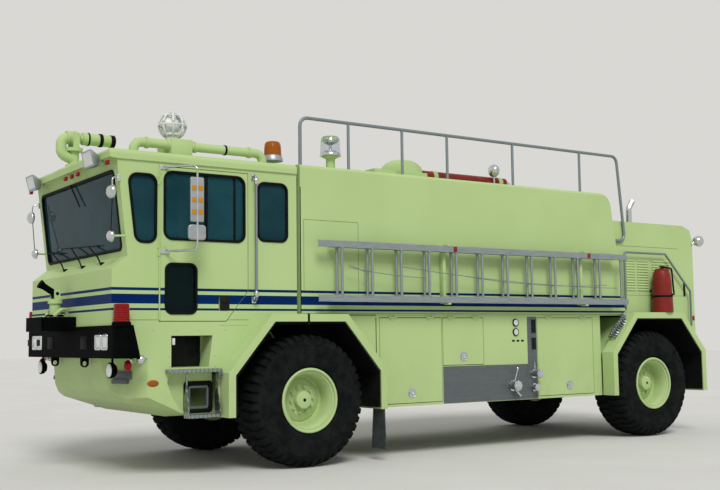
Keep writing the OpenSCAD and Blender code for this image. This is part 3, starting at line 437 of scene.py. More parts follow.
def painted_arch_shade(tree, place, ground):
    """Lays black painted shade over the walls that look forward into the front wheel arches, below the tank.
    """
    parts = add(tree, "ShaderNodeSeparateXYZ", links={"Vector": place})
    wall = add(tree, "ShaderNodeMath", {"operation": "COMPARE"}, {1: AXLE[0] + SHADED_WALL_X, 2: 0.004},
               {0: parts.outputs["X"]}).outputs[0]
    across = add(tree, "ShaderNodeMath", {"operation": "ABSOLUTE"},
                 links={0: parts.outputs["Y"]}).outputs[0]
    inner = add(tree, "ShaderNodeMath", {"operation": "LESS_THAN"}, {1: SHADED_HALF_WIDTH},
                {0: across}).outputs[0]
    below = add(tree, "ShaderNodeMath", {"operation": "LESS_THAN"}, {1: SHADED_TOP},
                {0: parts.outputs["Z"]}).outputs[0]
    mask = add(tree, "ShaderNodeMath", {"operation": "MULTIPLY"}, links={0: wall, 1: inner}).outputs[0]
    mask = add(tree, "ShaderNodeMath", {"operation": "MULTIPLY"}, links={0: mask, 1: below}).outputs[0]
    # Near-black painted shade where the front wheel arches are dark
    return add(tree, "ShaderNodeMix", {"data_type": "RGBA"}, {7: linear("#090b0a")},
               {0: mask, 6: ground}).outputs[2]


# Below this height the panes of the doors are smoked
SMOKED_TOP = 2.25
GLASS_SHEEN = linear("#76aebc")

# Finishes that differ only in numbers: name, two hex colours, size of their clouds, size of the grain,
# its depth, its strength, and the shader's own values
PLAIN_FINISHES = [
    # Black gloss enamel on folded steel, orange-peeled by the spray gun and filmed with dust
    ("black_enamel", "#040606", "#0a0d0d", 0.30, 0.020, 0.0003, 0.3,
     {"Roughness": 0.6, "Specular IOR Level": 0.015}),
    # Vulcanised rubber with carbon black, greyed by dust in its pores
    ("tyre_rubber", "#0d1010", "#1b1e1e", 0.11, 0.004, 0.0006, 0.5,
     {"Roughness": 0.9, "Specular IOR Level": 0.08}),
    # Sheet rubber of a mud flap, grey-green with dried spray
    ("flap_rubber", "#38413f", "#4a534f", 0.12, 0.006, 0.0006, 0.4,
     {"Roughness": 0.8, "Specular IOR Level": 0.15}),
    # Extruded EPDM rubber of seals: smooth, matt and nearly black
    ("seal_rubber", "#060808", "#0d1010", 0.05, 0.003, 0.0003, 0.3,
     {"Roughness": 0.6, "Specular IOR Level": 0.1}),
    # Laminated safety glass with a green-blue body tint, slightly wavy
    ("window_glass", "#3f8490", "#356f7b", 0.50, 0.350, 0.0004, 0.15,
     {"Roughness": 0.02, "IOR": 1.33, "Transmission Weight": 0.76, "Specular Tint": GLASS_SHEEN}),
    # The same glass in the screen, thicker and darker
    ("screen_glass", "#29505a", "#213f48", 0.50, 0.350, 0.0004, 0.15,
     {"Roughness": 0.02, "IOR": 1.16, "Transmission Weight": 0.35, "Specular Tint": GLASS_SHEEN}),
    # Bright chrome plate over polished steel
    ("chrome_plate", "#d6dadc", "#bfc5c8", 0.04, 0.020, 0.0002, 0.12, {"Roughness": 0.14, "Metallic": 1.0}),
    # Silvered glass of a driving mirror
    ("mirror_glass", "#c9d4d6", "#bccacd", 0.20, 0.200, 0.0002, 0.05, {"Roughness": 0.03, "Metallic": 1.0}),
    # Aluminium paint on a pressed steel shell
    ("silver_paint", "#a9aeb0", "#9ba1a3", 0.10, 0.004, 0.0002, 0.2, {"Roughness": 0.38, "Metallic": 0.5}),
    # Moulded ABS with a fine spark-eroded texture
    ("moulded_abs", "#0d0f10", "#171a1b", 0.20, 0.002, 0.0003, 0.4,
     {"Roughness": 0.6, "Specular IOR Level": 0.15}),
    # Trim board covered in dark needle felt
    ("trim_felt", "#23292a", "#2e3536", 0.06, 0.003, 0.0008, 0.5,
     {"Roughness": 0.95, "Specular IOR Level": 0.1}),
    # Red baking enamel on a pressed steel bottle, a little faded
    ("red_enamel", "#86241d", "#6e2620", 0.12, 0.010, 0.0003, 0.3,
     {"Roughness": 0.4, "Specular IOR Level": 0.2}),
    # Sand-cast grey iron under heat-resistant paint
    ("cast_iron", "#4a4c4b", "#5d5a53", 0.05, 0.003, 0.0008, 0.6, {"Roughness": 0.7, "Metallic": 0.3}),
    # White stove enamel of lamp housings
    ("white_enamel", "#d9dcd8", "#c9cdc9", 0.15, 0.010, 0.0002, 0.2, {"Roughness": 0.4}),
    # Clear polycarbonate, a little milky from the sun
    ("clear_dome", "#dfe6ea", "#c9d2d8", 0.06, 0.050, 0.0004, 0.2,
     {"Roughness": 0.06, "IOR": 1.58, "Transmission Weight": 0.92}),
    # Corrugated aluminium of a flexible duct
    ("duct_foil", "#a7adad", "#868c8c", 0.03, 0.006, 0.0008, 0.6, {"Roughness": 0.4, "Metallic": 1.0}),
]


def make_finishes(looks):
    """Makes every finish once, with the user's colours."""
    for name, first, second, cloud, grains, depth, strength, values in PLAIN_FINISHES:
        tree, shader, place = finish(name, **values)
        tree.links.new(clouded(tree, place, cloud, first, second), shader.inputs["Base Color"])
        rippled(tree, shader, place, grains, depth, strength)

        if name == "window_glass":
            height = add(tree, "ShaderNodeSeparateXYZ", links={"Vector": place}).outputs["Z"]
            low = add(tree, "ShaderNodeMath", {"operation": "LESS_THAN"}, {1: SMOKED_TOP},
                      {0: height}).outputs[0]
            clear = shader.inputs["Base Color"].links[0].from_socket
            tone = add(tree, "ShaderNodeMix", {"data_type": "RGBA"}, {7: linear("#1c2b2a")},
                       {0: low, 6: clear})
            tree.links.new(tone.outputs[2], shader.inputs["Base Color"])

    # Two-pack polyurethane enamel, sprayed and left glossy: a fine ripple in it breaks up the reflections
    for name in ("lime_enamel", "striped_enamel"):
        tree, shader, place = finish(name, Roughness=0.34, **{"Specular IOR Level": 0.03})
        tone = clouded(tree, place, 0.9, looks.enamel_hex, "#afc788", 2.0)
        if name == "striped_enamel":
            tone = striped(tree, place, tone, looks.stripe_hex)
        tone = dusted(tree, place, tone, "#9c9a7c", 0.55, 1.35, 0.28)
        # Black painted shade on the walls inside the front wheel arches
        tree.links.new(painted_arch_shade(tree, place, tone), shader.inputs["Base Color"])
        rippled(tree, shader, place, 0.012, 0.0002, 0.25)

    # Black chassis enamel, brushed on and dusty from the road
    tree, shader, place = finish("chassis_enamel", Roughness=0.7, **{"Specular IOR Level": 0.1})
    tone = dusted(tree, place, clouded(tree, place, 0.2, "#070808", "#101212"), "#4a473f", 0.2, 1.2, 0.35)
    tree.links.new(tone, shader.inputs["Base Color"])
    rippled(tree, shader, place, 0.006, 0.0004, 0.4)

    # Mill-finished aluminium extrusion and plain steel sheet, drawn along their length and dulled by weather
    for name, first, second, along, metallic in (("ladder_aluminium", "#889294", "#a3acad", 0.03, 0.7),
                                                 ("panel_steel", "#5a6062", "#686d6e", 0.02, 0.3)):
        tree, shader, place = finish(name, Metallic=metallic, Roughness=0.5, **{"Specular IOR Level": 0.25})
        drawn = add(tree, "ShaderNodeMapping", values={"Scale": (along, 1, 1)},
                    links={"Vector": place}).outputs[0]
        tree.links.new(clouded(tree, drawn, 0.004, first, second, 3.0), shader.inputs["Base Color"])
        rippled(tree, shader, drawn, 0.004, 0.0003, 0.3)

    # Rolled aluminium tread plate: raised bars that lie crosswise, drawn 35 mm apart so that they show
    tree, shader, place = finish("tread_plate", Metallic=1.0, Roughness=0.4)
    waves = []
    for slant in (1, -1):
        slanted = add(tree, "ShaderNodeMapping", values={"Scale": (1, slant, 0.3)}, links={"Vector": place})
        wave = add(tree, "ShaderNodeTexWave", {"wave_type": "BANDS", "bands_direction": "DIAGONAL"},
                   {"Scale": 12.5, "Distortion": 0.0}, {"Vector": slanted.outputs[0]})
        waves.append(wave.outputs["Fac"])
    ridge = add(tree, "ShaderNodeMath", {"operation": "MAXIMUM"},
                links={0: waves[0], 1: waves[1]}).outputs[0]
    bars = add(tree, "ShaderNodeMath", {"operation": "POWER"}, {1: 6.0}, {0: ridge}).outputs[0]
    tone = add(tree, "ShaderNodeMix", {"data_type": "RGBA"}, {6: linear("#6d7676"), 7: linear("#bac1be")},
               {0: bars})
    tree.links.new(tone.outputs[2], shader.inputs["Base Color"])
    raised(tree, shader, bars, 0.0015, 0.8)

    # Hot-dip galvanised steel tube: dull blue-grey with a spangle of about 10 mm
    tree, shader, place = finish("galvanised_steel", Metallic=0.6, Roughness=0.5)
    spangle = add(tree, "ShaderNodeTexVoronoi", values={"Scale": 100.0},
                  links={"Vector": place}).outputs["Distance"]
    tone = add(tree, "ShaderNodeMix", {"data_type": "RGBA"}, {6: linear("#8f989b"), 7: linear("#747e83")},
               {0: spangle})
    tree.links.new(tone.outputs[2], shader.inputs["Base Color"])
    raised(tree, shader, spangle, 0.0002, 0.2)

    # Leather-grained PVC on foam: its cells are about 2 mm wide
    tree, shader, place = finish("seat_vinyl", Roughness=0.5)
    cells = add(tree, "ShaderNodeTexVoronoi", values={"Scale": 450.0},
                links={"Vector": place}).outputs["Distance"]
    tree.links.new(clouded(tree, place, 0.08, "#1f2224", "#2b2f31"), shader.inputs["Base Color"])
    raised(tree, shader, cells, 0.0006, 0.5)

    # Moulded acrylic lenses with ribs inside, drawn 10 mm apart so that they show
    for name, colour, clear in (("amber_lens", "#a05408", 0.1), ("red_lens", "#8f0b09", 0.1),
                                ("white_lens", "#e6eae8", 0.08), ("yellow_lens", "#c98a12", 0.1)):
        tree, shader, place = finish(name, Roughness=0.15, IOR=1.2, **{"Transmission Weight": clear})
        ribs = add(tree, "ShaderNodeTexWave", {"wave_type": "BANDS", "bands_direction": "Z"},
                   {"Scale": 30.0}, {"Vector": place}).outputs["Fac"]
        share = add(tree, "ShaderNodeMapRange", values={"To Max": 0.02}, links={"Value": ribs}).outputs[0]
        tone = add(tree, "ShaderNodeMix", {"data_type": "RGBA"}, {6: linear(colour), 7: linear("#f4efe6")},
                   {0: share})
        tree.links.new(tone.outputs[2], shader.inputs["Base Color"])
        raised(tree, shader, ribs, 0.001, 0.4)


class TruckLooks(bpy.types.PropertyGroup):
    """Colours of the truck."""

    enamel_hex: bpy.props.StringProperty(name="Enamel", description="Colour of the lime enamel",
                                         default="#b4cb8e")
    stripe_hex: bpy.props.StringProperty(name="Stripes", description="Colour of the stripes",
                                         default="#05265c")


class TruckSizes(bpy.types.PropertyGroup):
    """Sizes of the small parts."""

    tread_lugs: bpy.props.IntProperty(
        name="Tread lugs", description="Number of lugs along each shoulder of a tyre", default=44, min=24,
        max=72)
    tread_depth: bpy.props.FloatProperty(
        name="Tread depth", description="Depth of the grooves between the lugs", default=0.024,
        min=0.005, max=0.04, unit="LENGTH", subtype="DISTANCE")


# Wheels

NUTS = 10
NUT_CIRCLE = 0.146


def tyre(lugs, depth):
    """A tyre about Y: the section is a closed loop, and the grooves lower it by depth between the lugs.

    At angle t and place y across the tread, a groove runs where the fraction of lugs (t + skew(y)) lies in
    its last part. The skew turns the left row of lugs by half a pitch against the right row.
    """
    half = TYRE_WIDTH / 2
    section = np.array([
        [0.342, -0.225, 0], [0.356, -0.226, 0], [0.372, -0.232, 0], [0.385, -0.262, 0], [0.40, -0.272, 0],
        [0.42, -0.277, 0], [0.46, -0.2815, 0], [0.50, -0.2845, 0], [0.54, -0.285, 0], [0.58, -0.2835, 0],
        [0.612, -0.281, 0], [0.616, -0.284, 0], [0.628, -0.284, 0], [0.632, -0.278, 0], [0.65, -0.275, 0],
        [0.675, -0.268, 0.25], [0.695, -0.256, 0.8], [0.718, -0.234, 1], [0.734, -0.21, 1],
        [0.740, -0.18, 1], [0.744, -0.14, 1], [0.746, -0.10, 1], [0.748, -0.062, 1], [0.749, -0.058, 0.9],
        [0.749, -0.034, 0.9], [0.7495, -0.03, 0.8], [0.75, -0.012, 0.8], [0.75, 0.012, 0.8],
    ])
    outer = np.concatenate([section, (section * [1, -1, 1])[::-1]])
    inner = np.array([[0.35, 0.195, 0], [0.50, 0.215, 0], [0.66, 0.205, 0], [0.69, 0.12, 0],
                      [0.69, -0.12, 0], [0.66, -0.205, 0], [0.50, -0.215, 0], [0.35, -0.195, 0]])
    loop = np.concatenate([outer, inner])
    fractions = np.array([0.0, 0.03, 0.30, 0.57, 0.60, 0.66, 0.80, 0.94])
    fall = np.array([0.55, 0.0, 0.0, 0.0, 0.55, 1.0, 1.0, 1.0])
    turns = (np.arange(lugs)[:, None] + fractions[None, :]).ravel() / lugs
    groove = np.tile(fall, lugs)
    y = loop[:, 1]
    skew = np.where(y < -0.03, 0.0, np.where(y > 0.03, 0.5, (y + 0.03) / 0.12)) + 0.9 * np.abs(y)
    angle = 2 * np.pi * (turns[:, None] + skew[None, :] / lugs)
    drop = depth * groove[:, None] * loop[None, :, 2]
    radius = loop[None, :, 0] - drop
    across = y[None, :] * (1 - 0.35 * drop / half * (np.abs(y) > 0.2)[None, :])
    rings = np.stack([radius * np.cos(angle), np.broadcast_to(across, radius.shape),
                      radius * np.sin(angle)], axis=-1)
    return outward(skin(rings, closed=True))


def rim_shapes():
    """The rim about Y with its dish facing -Y: rolled flange and ring, barrel, disc and the hub."""
    t = np.linspace(0, 2 * np.pi, 17)[:-1]
    flange = np.stack([0.350 + 0.016 * np.cos(t), -0.250 + 0.013 * np.sin(t)], axis=-1)
    inner_ring = np.stack([0.318 + 0.009 * np.cos(t), -0.222 + 0.010 * np.sin(t)], axis=-1)
    barrel = [[0.352, -0.238], [0.340, -0.232], [0.340, 0.232], [0.356, 0.240], [0.356, 0.246],
              [0.330, 0.246], [0.326, 0.10], [0.322, 0.0], [0.288, -0.02], [0.286, -0.12],
              [0.296, -0.19], [0.310, -0.215], [0.334, -0.236]]
    disc = [[0.292, -0.022], [0.262, -0.022], [0.256, -0.016], [0.250, -0.016], [0.244, -0.022],
            [0.235, -0.030], [0.180, -0.044], [0.172, -0.050], [0.120, -0.050], [0.120, -0.010],
            [0.26, -0.008], [0.292, -0.008]]
    hub = [[0.156, 0.048], [0.156, -0.045], [0.112, -0.052], [0.104, -0.058], [0.102, -0.110],
           [0.094, -0.124], [0.060, -0.132], [0.020, -0.134], [0.0605, -0.06], [0.0605, 0.048]]
    rings = [lathe(p, axis="y", closed=True, steps=72) for p in (flange, inner_ring, barrel, disc)]
    return rings + [lathe(hub, axis="y", closed=True, steps=48)]


class TRUCK_OT_wheels(bpy.types.Operator):
    """Four treaded tyres and their dished rims with hubs and nuts"""

    bl_idname = "truck.wheels"
    bl_label = "Wheels"

    def execute(self, context):
        sizes = context.scene.truck_sizes
        rubber = tyre(sizes.tread_lugs, sizes.tread_depth)
        for name, x, side, body in WHEELS:
            turn = np.eye(3) if side < 0 else spin(180)
            at = (x, side * WHEEL_Y, TYRE_RADIUS)
            piece(f"{name}_tyre_rubber", rubber.turned(turn).moved(*at), "tyre_rubber", body, "tyre",
                  40, [f"{name}_tyre"])
            piece(f"{name}_rim_steel", [s.turned(turn).moved(*at) for s in rim_shapes()], "lime_enamel",
                  body, "lime_paint", 35, [f"{name}_rim"])
            t = np.arange(NUTS) * 2 * np.pi / NUTS + 0.1
            nut = lathe([[0.017, 0.0], [0.017, -0.020], [0.014, -0.024], [0.010, -0.024], [0.010, -0.036],
                         [0.008, -0.038], [0.002, -0.038]], axis="y", steps=6)
            nuts = repeated(nut, np.column_stack([NUT_CIRCLE * np.cos(t), np.full(NUTS, -0.049),
                                                  NUT_CIRCLE * np.sin(t)]))
            piece(f"{name}_wheel_nuts", nuts.turned(turn).moved(*at), "lime_enamel", body)
        return {"FINISHED"}


# Cab

# Middle of the screen's foot and head along and up, and the directions out of the screen and the side wall
SCREEN_FOOT = (-2.119, 2.325)
SCREEN_HEAD = (-2.242, 3.340)
SCREEN_OUT = np.array([-1.015, 0.0, -0.123]) / math.hypot(1.015, 0.123)
SIDE_OUT = (0, -1, 0)
QUARTER_WINDOW = [(-2.118, 3.195), (-2.030, 2.478), (-1.808, 2.478), (-1.805, 3.195)]
CAB_WINDOWS = [(QUARTER_WINDOW, 0.088), (rectangle((-0.577, 2.548), (-0.203, 3.205)), 0.08)]
DOOR_WINDOWS = [(rectangle((-1.708, 2.522), (-0.752, 3.245)), 0.09),
                (rectangle((-1.690, 1.730), (-1.338, 2.256)), 0.07)]
MIRROR_X = -1.48


def on_side(outline, y):
    """An outline of places along and up, put on the driver's side at a distance from the middle."""
    outline = np.asarray(outline, float)
    return np.column_stack([outline[:, 0], np.full(len(outline), -y), outline[:, 1]])


def on_screen(y, z, proud=0.0):
    """Points on the plane of the windscreen at places across and up, lifted off it by a distance."""
    y, z = np.broadcast_arrays(np.asarray(y, float), np.asarray(z, float))
    share = (z - SCREEN_FOOT[1]) / (SCREEN_HEAD[1] - SCREEN_FOOT[1])
    x = SCREEN_FOOT[0] + share * (SCREEN_HEAD[0] - SCREEN_FOOT[0])
    return np.stack([x, y, z], axis=-1) + proud * SCREEN_OUT


def seal(path, out, width=0.028, proud=0.012):
    """A rubber seal along a closed path: a rounded section that stands proud and reaches into the wall."""
    return swept(path, rectangle((-0.012, -width / 2), (proud, width / 2), 0.005, 2), out, closed=True)


def seam(path, out=SIDE_OUT, closed=False):
    """The dark line of a joint between two sheets, one millimetre proud and three wide."""
    return swept(path, rectangle((-0.001, -0.0015), (0.001, 0.0015)), out, closed)


def ball(at, half, steps=24, axis="z"):
    """An ellipsoid turned about an axis: radius a cos t and height b sin t, with t short of the poles."""
    t = np.linspace(-1.53, 1.53, steps // 2 + 1)
    return lathe(np.column_stack([half[0] * np.cos(t), half[1] * np.sin(t)]), at, axis, steps)


def bolts(places, radius=0.009, proud=0.006):
    """Domed bolt heads on the driver's side, at places along, across and up."""
    head = lathe([[radius, 0.004], [radius, -0.3 * proud], [0.8 * radius, -0.75 * proud], [0.001, -proud]],
                 axis="y", steps=10)
    return repeated(head, places)


def seals_round(windows):
    """A seal round each window in a side wall, given by its outline and the radius of its corners."""
    return [seal(on_side(rounded_corners(outline, radius, 6), BODY_Y), SIDE_OUT)
            for outline, radius in windows]


class TRUCK_OT_glazing(bpy.types.Operator):
    """Rubber seals round all windows, the bars of the sliding panes and the wipers"""

    bl_idname = "truck.glazing"
    bl_label = "Window seals and wipers"

    def execute(self, context):
        pair("window_seals", seals_round(CAB_WINDOWS), "seal_rubber")
        bars = [block((x - w, -1.318, 2.53), (x + w, -1.297, 3.238))
                for x, w in ((-1.215, 0.016), (-0.868, 0.010))]
        pair("door_seals", seals_round(DOOR_WINDOWS) + bars, "seal_rubber", "door_{}")
        edge = rectangle((-1.189, 2.402), (1.189, 3.229), 0.06, 6)
        piece("screen_seal", seal(on_screen(edge[:, 0], edge[:, 1]), SCREEN_OUT, 0.034, 0.012),
              "seal_rubber")

        arms = []
        boss = [[0.020, 0.03], [0.020, -0.012], [0.013, -0.020], [0.002, -0.022]]
        for y, tip in ((-0.782, (-0.30, 2.502)), (-0.198, (0.26, 2.526)), (0.401, (0.92, 2.508))):
            arms.append(lathe(boss, (-2.192, y, 2.272), "x", 16))
            way = [(-2.212, y, 2.275), (-2.205, y + 0.09, 2.345), on_screen(*tip, 0.03)]
            arms.append(tube(softened(way, 0.02), 0.009, SCREEN_OUT, 8))
        for low, high in (((0.644, 2.547), (-0.55, 2.488)), ((1.16, 2.534), (0.66, 2.489))):
            ends = [on_screen(*low, 0.016), on_screen(*high, 0.016)]
            arms.append(swept(ends, rectangle((-0.010, -0.007), (0.012, 0.007), 0.003, 2), SCREEN_OUT))
        arms.append(tube([on_screen(0.112, 3.238, 0.014), on_screen(-0.127, 2.967, 0.018)], 0.009,
                         SCREEN_OUT, 8))
        piece("wipers", arms, "seal_rubber")
        return {"FINISHED"}


class TRUCK_OT_doors(bpy.types.Operator):
    """Hinge rods, handles and the driving mirrors on the cab doors, and the chrome ends of the grab bars"""

    bl_idname = "truck.doors"
    bl_label = "Doors and mirrors"

    def execute(self, context):
        hinge = [rod((-1.766, -1.329, a), (-1.766, -1.329, b), 0.008, 8)
                 for a, b in ((1.66, 2.33), (2.45, 3.09), (3.21, 3.29))]
        pair("door_hinge_rods", hinge, "lime_enamel", "door_{}")
        handle = [block((-1.052, -1.3255, 1.762), (-0.938, -1.312, 1.918), 0.004),
                  block((-1.035, -1.338, 1.845), (-0.955, -1.322, 1.885), 0.006)]
        pair("door_handles", handle, "moulded_abs", "door_{}")
        feet = [block((-0.668, -1.334, z), (-0.612, -1.316, z + 0.075), 0.006) for z in (3.225, 1.842)]
        feet += [lathe(band(0.022, 0.026, 0.03, 0.01), (-0.640, -1.390, z), "z", 16) for z in (3.20, 1.94)]
        pair("grab_bar_feet", feet, "chrome_plate")

        arm = softened([(-1.72, -1.322, 3.285), (MIRROR_X, -1.645, 3.285), (MIRROR_X, -1.645, 2.385),
                        (-1.72, -1.322, 2.385)], 0.06)
        tubes = [tube(arm, 0.011, (0.8, 0.6, 0)), block((-1.76, -1.333, 3.262), (-1.66, -1.318, 3.305)),
                 block((-1.765, -1.336, 2.362), (-1.655, -1.318, 2.405)),
                 rod((-1.71, -1.345, 2.385), (-1.71, -1.345, 2.44), 0.007)]
        pair("mirror_arms", tubes, "chrome_plate", "door_{}", ["mirror_{}"])
        x = MIRROR_X
        heads = [slab(rectangle((x - 0.077, 2.680), (x + 0.077, 3.155), 0.018), -1.648, -1.622, "y", 0.008),
                 slab(rectangle((x - 0.102, 2.488), (x + 0.102, 2.652), 0.038), -1.652, -1.614, "y", 0.016,
                      5)]
        pair("mirror_heads", heads, "silver_paint", "door_{}")
        outlines = [rectangle((x + along - 0.024, z - 0.027), (x + along + 0.024, z + 0.027), 0.004)
                    for along in (-0.040, 0.040) for z in (3.040, 2.912, 2.784)]
        reflectors = [slab(outline, -1.653, -1.644, "y", 0.002) for outline in outlines]
        pair("mirror_reflectors", reflectors, "yellow_lens", "door_{}")
        tall = rectangle((x - 0.068, 2.692), (x + 0.068, 3.143), 0.012)
        low = rectangle((x - 0.088, 2.500), (x + 0.088, 2.640), 0.030)
        glasses = [slab(tall, -1.6245, -1.6205, "y", 0.001), slab(low, -1.6175, -1.6125, "y", 0.001)]
        pair("mirror_glasses", glasses, "mirror_glass", "door_{}")

        # Round mirrors at the corners of the screen, the bulged backs of their bowls forward
        bowl = [[0.002, -0.060], [0.028, -0.056], [0.052, -0.043], [0.070, -0.022], [0.078, 0.0],
                [0.075, 0.012], [0.062, 0.016], [0.002, 0.017]]
        spots = [lathe(bowl, (-2.303, -1.344, 2.982), "x", 32),
                 lathe(np.array(bowl) * 0.82, (-2.276, -1.261, 2.529), "x", 32)]
        stems = [tube(softened([(-2.225, -1.315, 3.135), (-2.300, -1.344, 3.135), (-2.300, -1.344, 3.04)],
                               0.025), 0.008),
                 block((-2.235, -1.333, 3.10), (-2.205, -1.312, 3.17))]
        pair("corner_mirrors", spots + stems, "chrome_plate")
        pair("corner_mirror_stems", [rod((-2.140, -1.312, 2.535), (-2.268, -1.264, 2.531), 0.012)],
             "lime_enamel")
        pair("corner_mirror_rods", [rod((-2.296, -1.338, 2.93), (-2.285, -1.272, 2.56), 0.005, 8)],
             "seal_rubber")
        return {"FINISHED"}


# Roof

AMBER_BEACON = (-0.260, -1.10, 3.566)
CLEAR_BEACON = (0.540, -1.10, 3.665)
SPOTLIGHT = (-1.478, -1.0, 3.815)
HOOP_RADIUS = 0.148
# Places across and up of the pipe on the cab and the bottle on the tank
PIPE = (-1.19, 3.562)
ROOF_BOTTLE = (-0.90, 3.54)
BOTTLE_STRAPS = (2.270, 3.40)
# Where the roof turret's barrel tilts
TRUNNION = (-2.195, 0.150, 3.80)


class TRUCK_OT_roof(bpy.types.Operator):
    """Lamps, beacons, pipes and straps on the roofs of the cab and the tank"""

    bl_idname = "truck.roof"
    bl_label = "Roof"

    def execute(self, context):
        markers = [block((-2.352, y - 0.036, 3.268), (-2.318, y + 0.036, 3.316), 0.008)
                   for y in (0.010, -0.192, -0.388, -1.285, 1.285)]
        piece("marker_lamps", markers, "red_lens")

        # Floodlights: a shell that widens forward and leans down, with a flat lens in a bezel
        shell, lens = [], []
        for y in (-0.98, 0.98):
            rings = []
            for x, w, low, high in ((-2.332, 0.060, 3.30, 3.37), (-2.345, 0.085, 3.285, 3.405),
                                    (-2.425, 0.138, 3.275, 3.452), (-2.438, 0.138, 3.282, 3.448),
                                    (-2.438, 0.126, 3.294, 3.436), (-2.430, 0.124, 3.296, 3.434)):
                flat = rectangle((y - w, low), (y + w, high), 0.012, 3)
                lean = (flat[:, 1] - 3.36) * -0.25 * (x < -2.36)
                rings.append(np.column_stack([x + lean, flat[:, 0], flat[:, 1]]))
            shell.append(skin(rings))
            face = rectangle((y - 0.125, 3.295), (y + 0.125, 3.435), 0.010, 3)
            lens.append(skin([np.column_stack([x - (face[:, 1] - 3.36) * 0.25, face])
                              for x in (-2.425, -2.434)]))
            shell.append(rod((-2.335, y - 0.10, 3.335), (-2.300, y - 0.10, 3.335), 0.012))
        piece("floodlight_shells", shell, "silver_paint", stands_for=["roof_lights"])
        piece("floodlight_lenses", lens, "white_lens")

        # Caged spotlight: a bowl lamp inside hoops on a turning foot
        at = np.array(SPOTLIGHT)
        t = np.linspace(0, 2 * np.pi, 28, endpoint=False)
        hoop = np.column_stack([np.cos(t), 0 * t, np.sin(t)]) * HOOP_RADIUS
        cage = [tube(hoop @ spin(a).T + at, 0.014, (0.1, 0.1, 1), 8, True) for a in (25, 70, 115, 160)]
        for r, h in ((HOOP_RADIUS, 0.0), (0.10, 0.108), (0.10, -0.108)):
            level = np.column_stack([r * np.cos(t), r * np.sin(t), 0 * t + h])
            cage.append(tube(level + at, 0.011, (0, 0, 1), 8, True))
        cage.append(lathe([[0.10, 3.626], [0.10, 3.650], [0.082, 3.665], [0.078, 3.70], [0.092, 3.715],
                           [0.09, 3.73], [0.002, 3.735]], (*SPOTLIGHT[:2], 0)))
        piece("spotlight_cage", cage, "white_enamel")
        bowl_lamp = lathe([[0.002, 0.075], [0.05, 0.068], [0.085, 0.035], [0.100, -0.01], [0.105, -0.045],
                           [0.096, -0.055], [0.09, -0.048], [0.002, -0.040]], axis="x", steps=32)
        piece("spotlight_bowl", bowl_lamp.turned(1.12 * spin(-38)).moved(*at), "white_enamel")
        piece("spotlight_box", [block((-1.605, -1.262, 3.45), (-1.355, -0.88, 3.626), 0.006)],
              "lime_enamel")

        beacon = [[0.104, 0.0], [0.102, 0.02], [0.098, 0.10], [0.092, 0.145], [0.076, 0.166], [0.05, 0.174],
                  [0.002, 0.176]]
        foot = [[0.120, -0.060], [0.118, -0.03], [0.108, -0.012], [0.106, 0.004], [0.002, 0.004]]
        piece("amber_beacon_dome", lathe(beacon, AMBER_BEACON, steps=32), "amber_lens")
        piece("amber_beacon_foot", lathe(foot, AMBER_BEACON, steps=32), "silver_paint")
        piece("clear_beacon_dome", lathe(np.array(beacon) * [1.20, 1.25], CLEAR_BEACON, steps=32),
              "clear_dome")
        inside = [lathe([[0.05, 0.004], [0.05, 0.03], [0.012, 0.04], [0.012, 0.09], [0.055, 0.13],
                         [0.06, 0.16], [0.002, 0.165]], CLEAR_BEACON, steps=24),
                  lathe([[0.13, -0.03], [0.13, -0.005], [0.124, 0.004], [0.002, 0.004]], CLEAR_BEACON,
                        steps=32)]
        piece("clear_beacon_inside", inside, "chrome_plate")
        post = [[0.055, 3.44], [0.055, 3.60], [0.10, 3.625], [0.10, 3.637], [0.002, 3.637]]
        piece("clear_beacon_post", lathe(post, (*CLEAR_BEACON[:2], 0)), "lime_enamel")

        y, z = PIPE
        pipe = softened([(-2.010, y, 3.44), (-2.010, y, z), (-0.450, y, z), (-0.450, y, 3.44)], 0.09)
        clamps = [lathe(band(0.050, 0.062, 0.02, 0.004), (x, *PIPE), "x", 24)
                  for x in (-1.86, -1.62, -1.30, -0.62)]
        piece("roof_pipe", [tube(pipe, 0.051, steps=24)] + clamps, "lime_enamel")
        piece("roof_pipe_strap", lathe(band(0.050, 0.058, 0.012, 0.002), (-0.93, *PIPE), "x", 24),
              "seal_rubber")

        straps = [lathe(band(0.074, 0.082, 0.035, 0.003), (x, *ROOF_BOTTLE), "x", 32)
                  for x in BOTTLE_STRAPS]
        straps += [block((x - 0.03, -0.99, 3.45), (x + 0.03, -0.81, 3.50)) for x in BOTTLE_STRAPS]
        piece("roof_bottle_straps", straps, "lime_enamel")
        valve = [lathe([[0.076, -0.01], [0.060, 0.03], [0.030, 0.05], [0.030, 0.10], [0.002, 0.10]],
                       (3.505, *ROOF_BOTTLE), "x", 24),
                 ball((3.247, -1.0, 3.690), (0.088, 0.075), 32, "x"),
                 rod((3.247, -1.0, 3.44), (3.247, -1.0, 3.64), 0.014)]
        piece("roof_chrome_lamp", valve, "chrome_plate")

        dome = [[0.30, 3.53], [0.288, 3.60], [0.262, 3.66], [0.215, 3.71], [0.15, 3.745], [0.075, 3.762],
                [0.002, 3.765]]
        piece("roof_dome", lathe(dome, (1.90, -0.70, 0), steps=48), "lime_enamel")

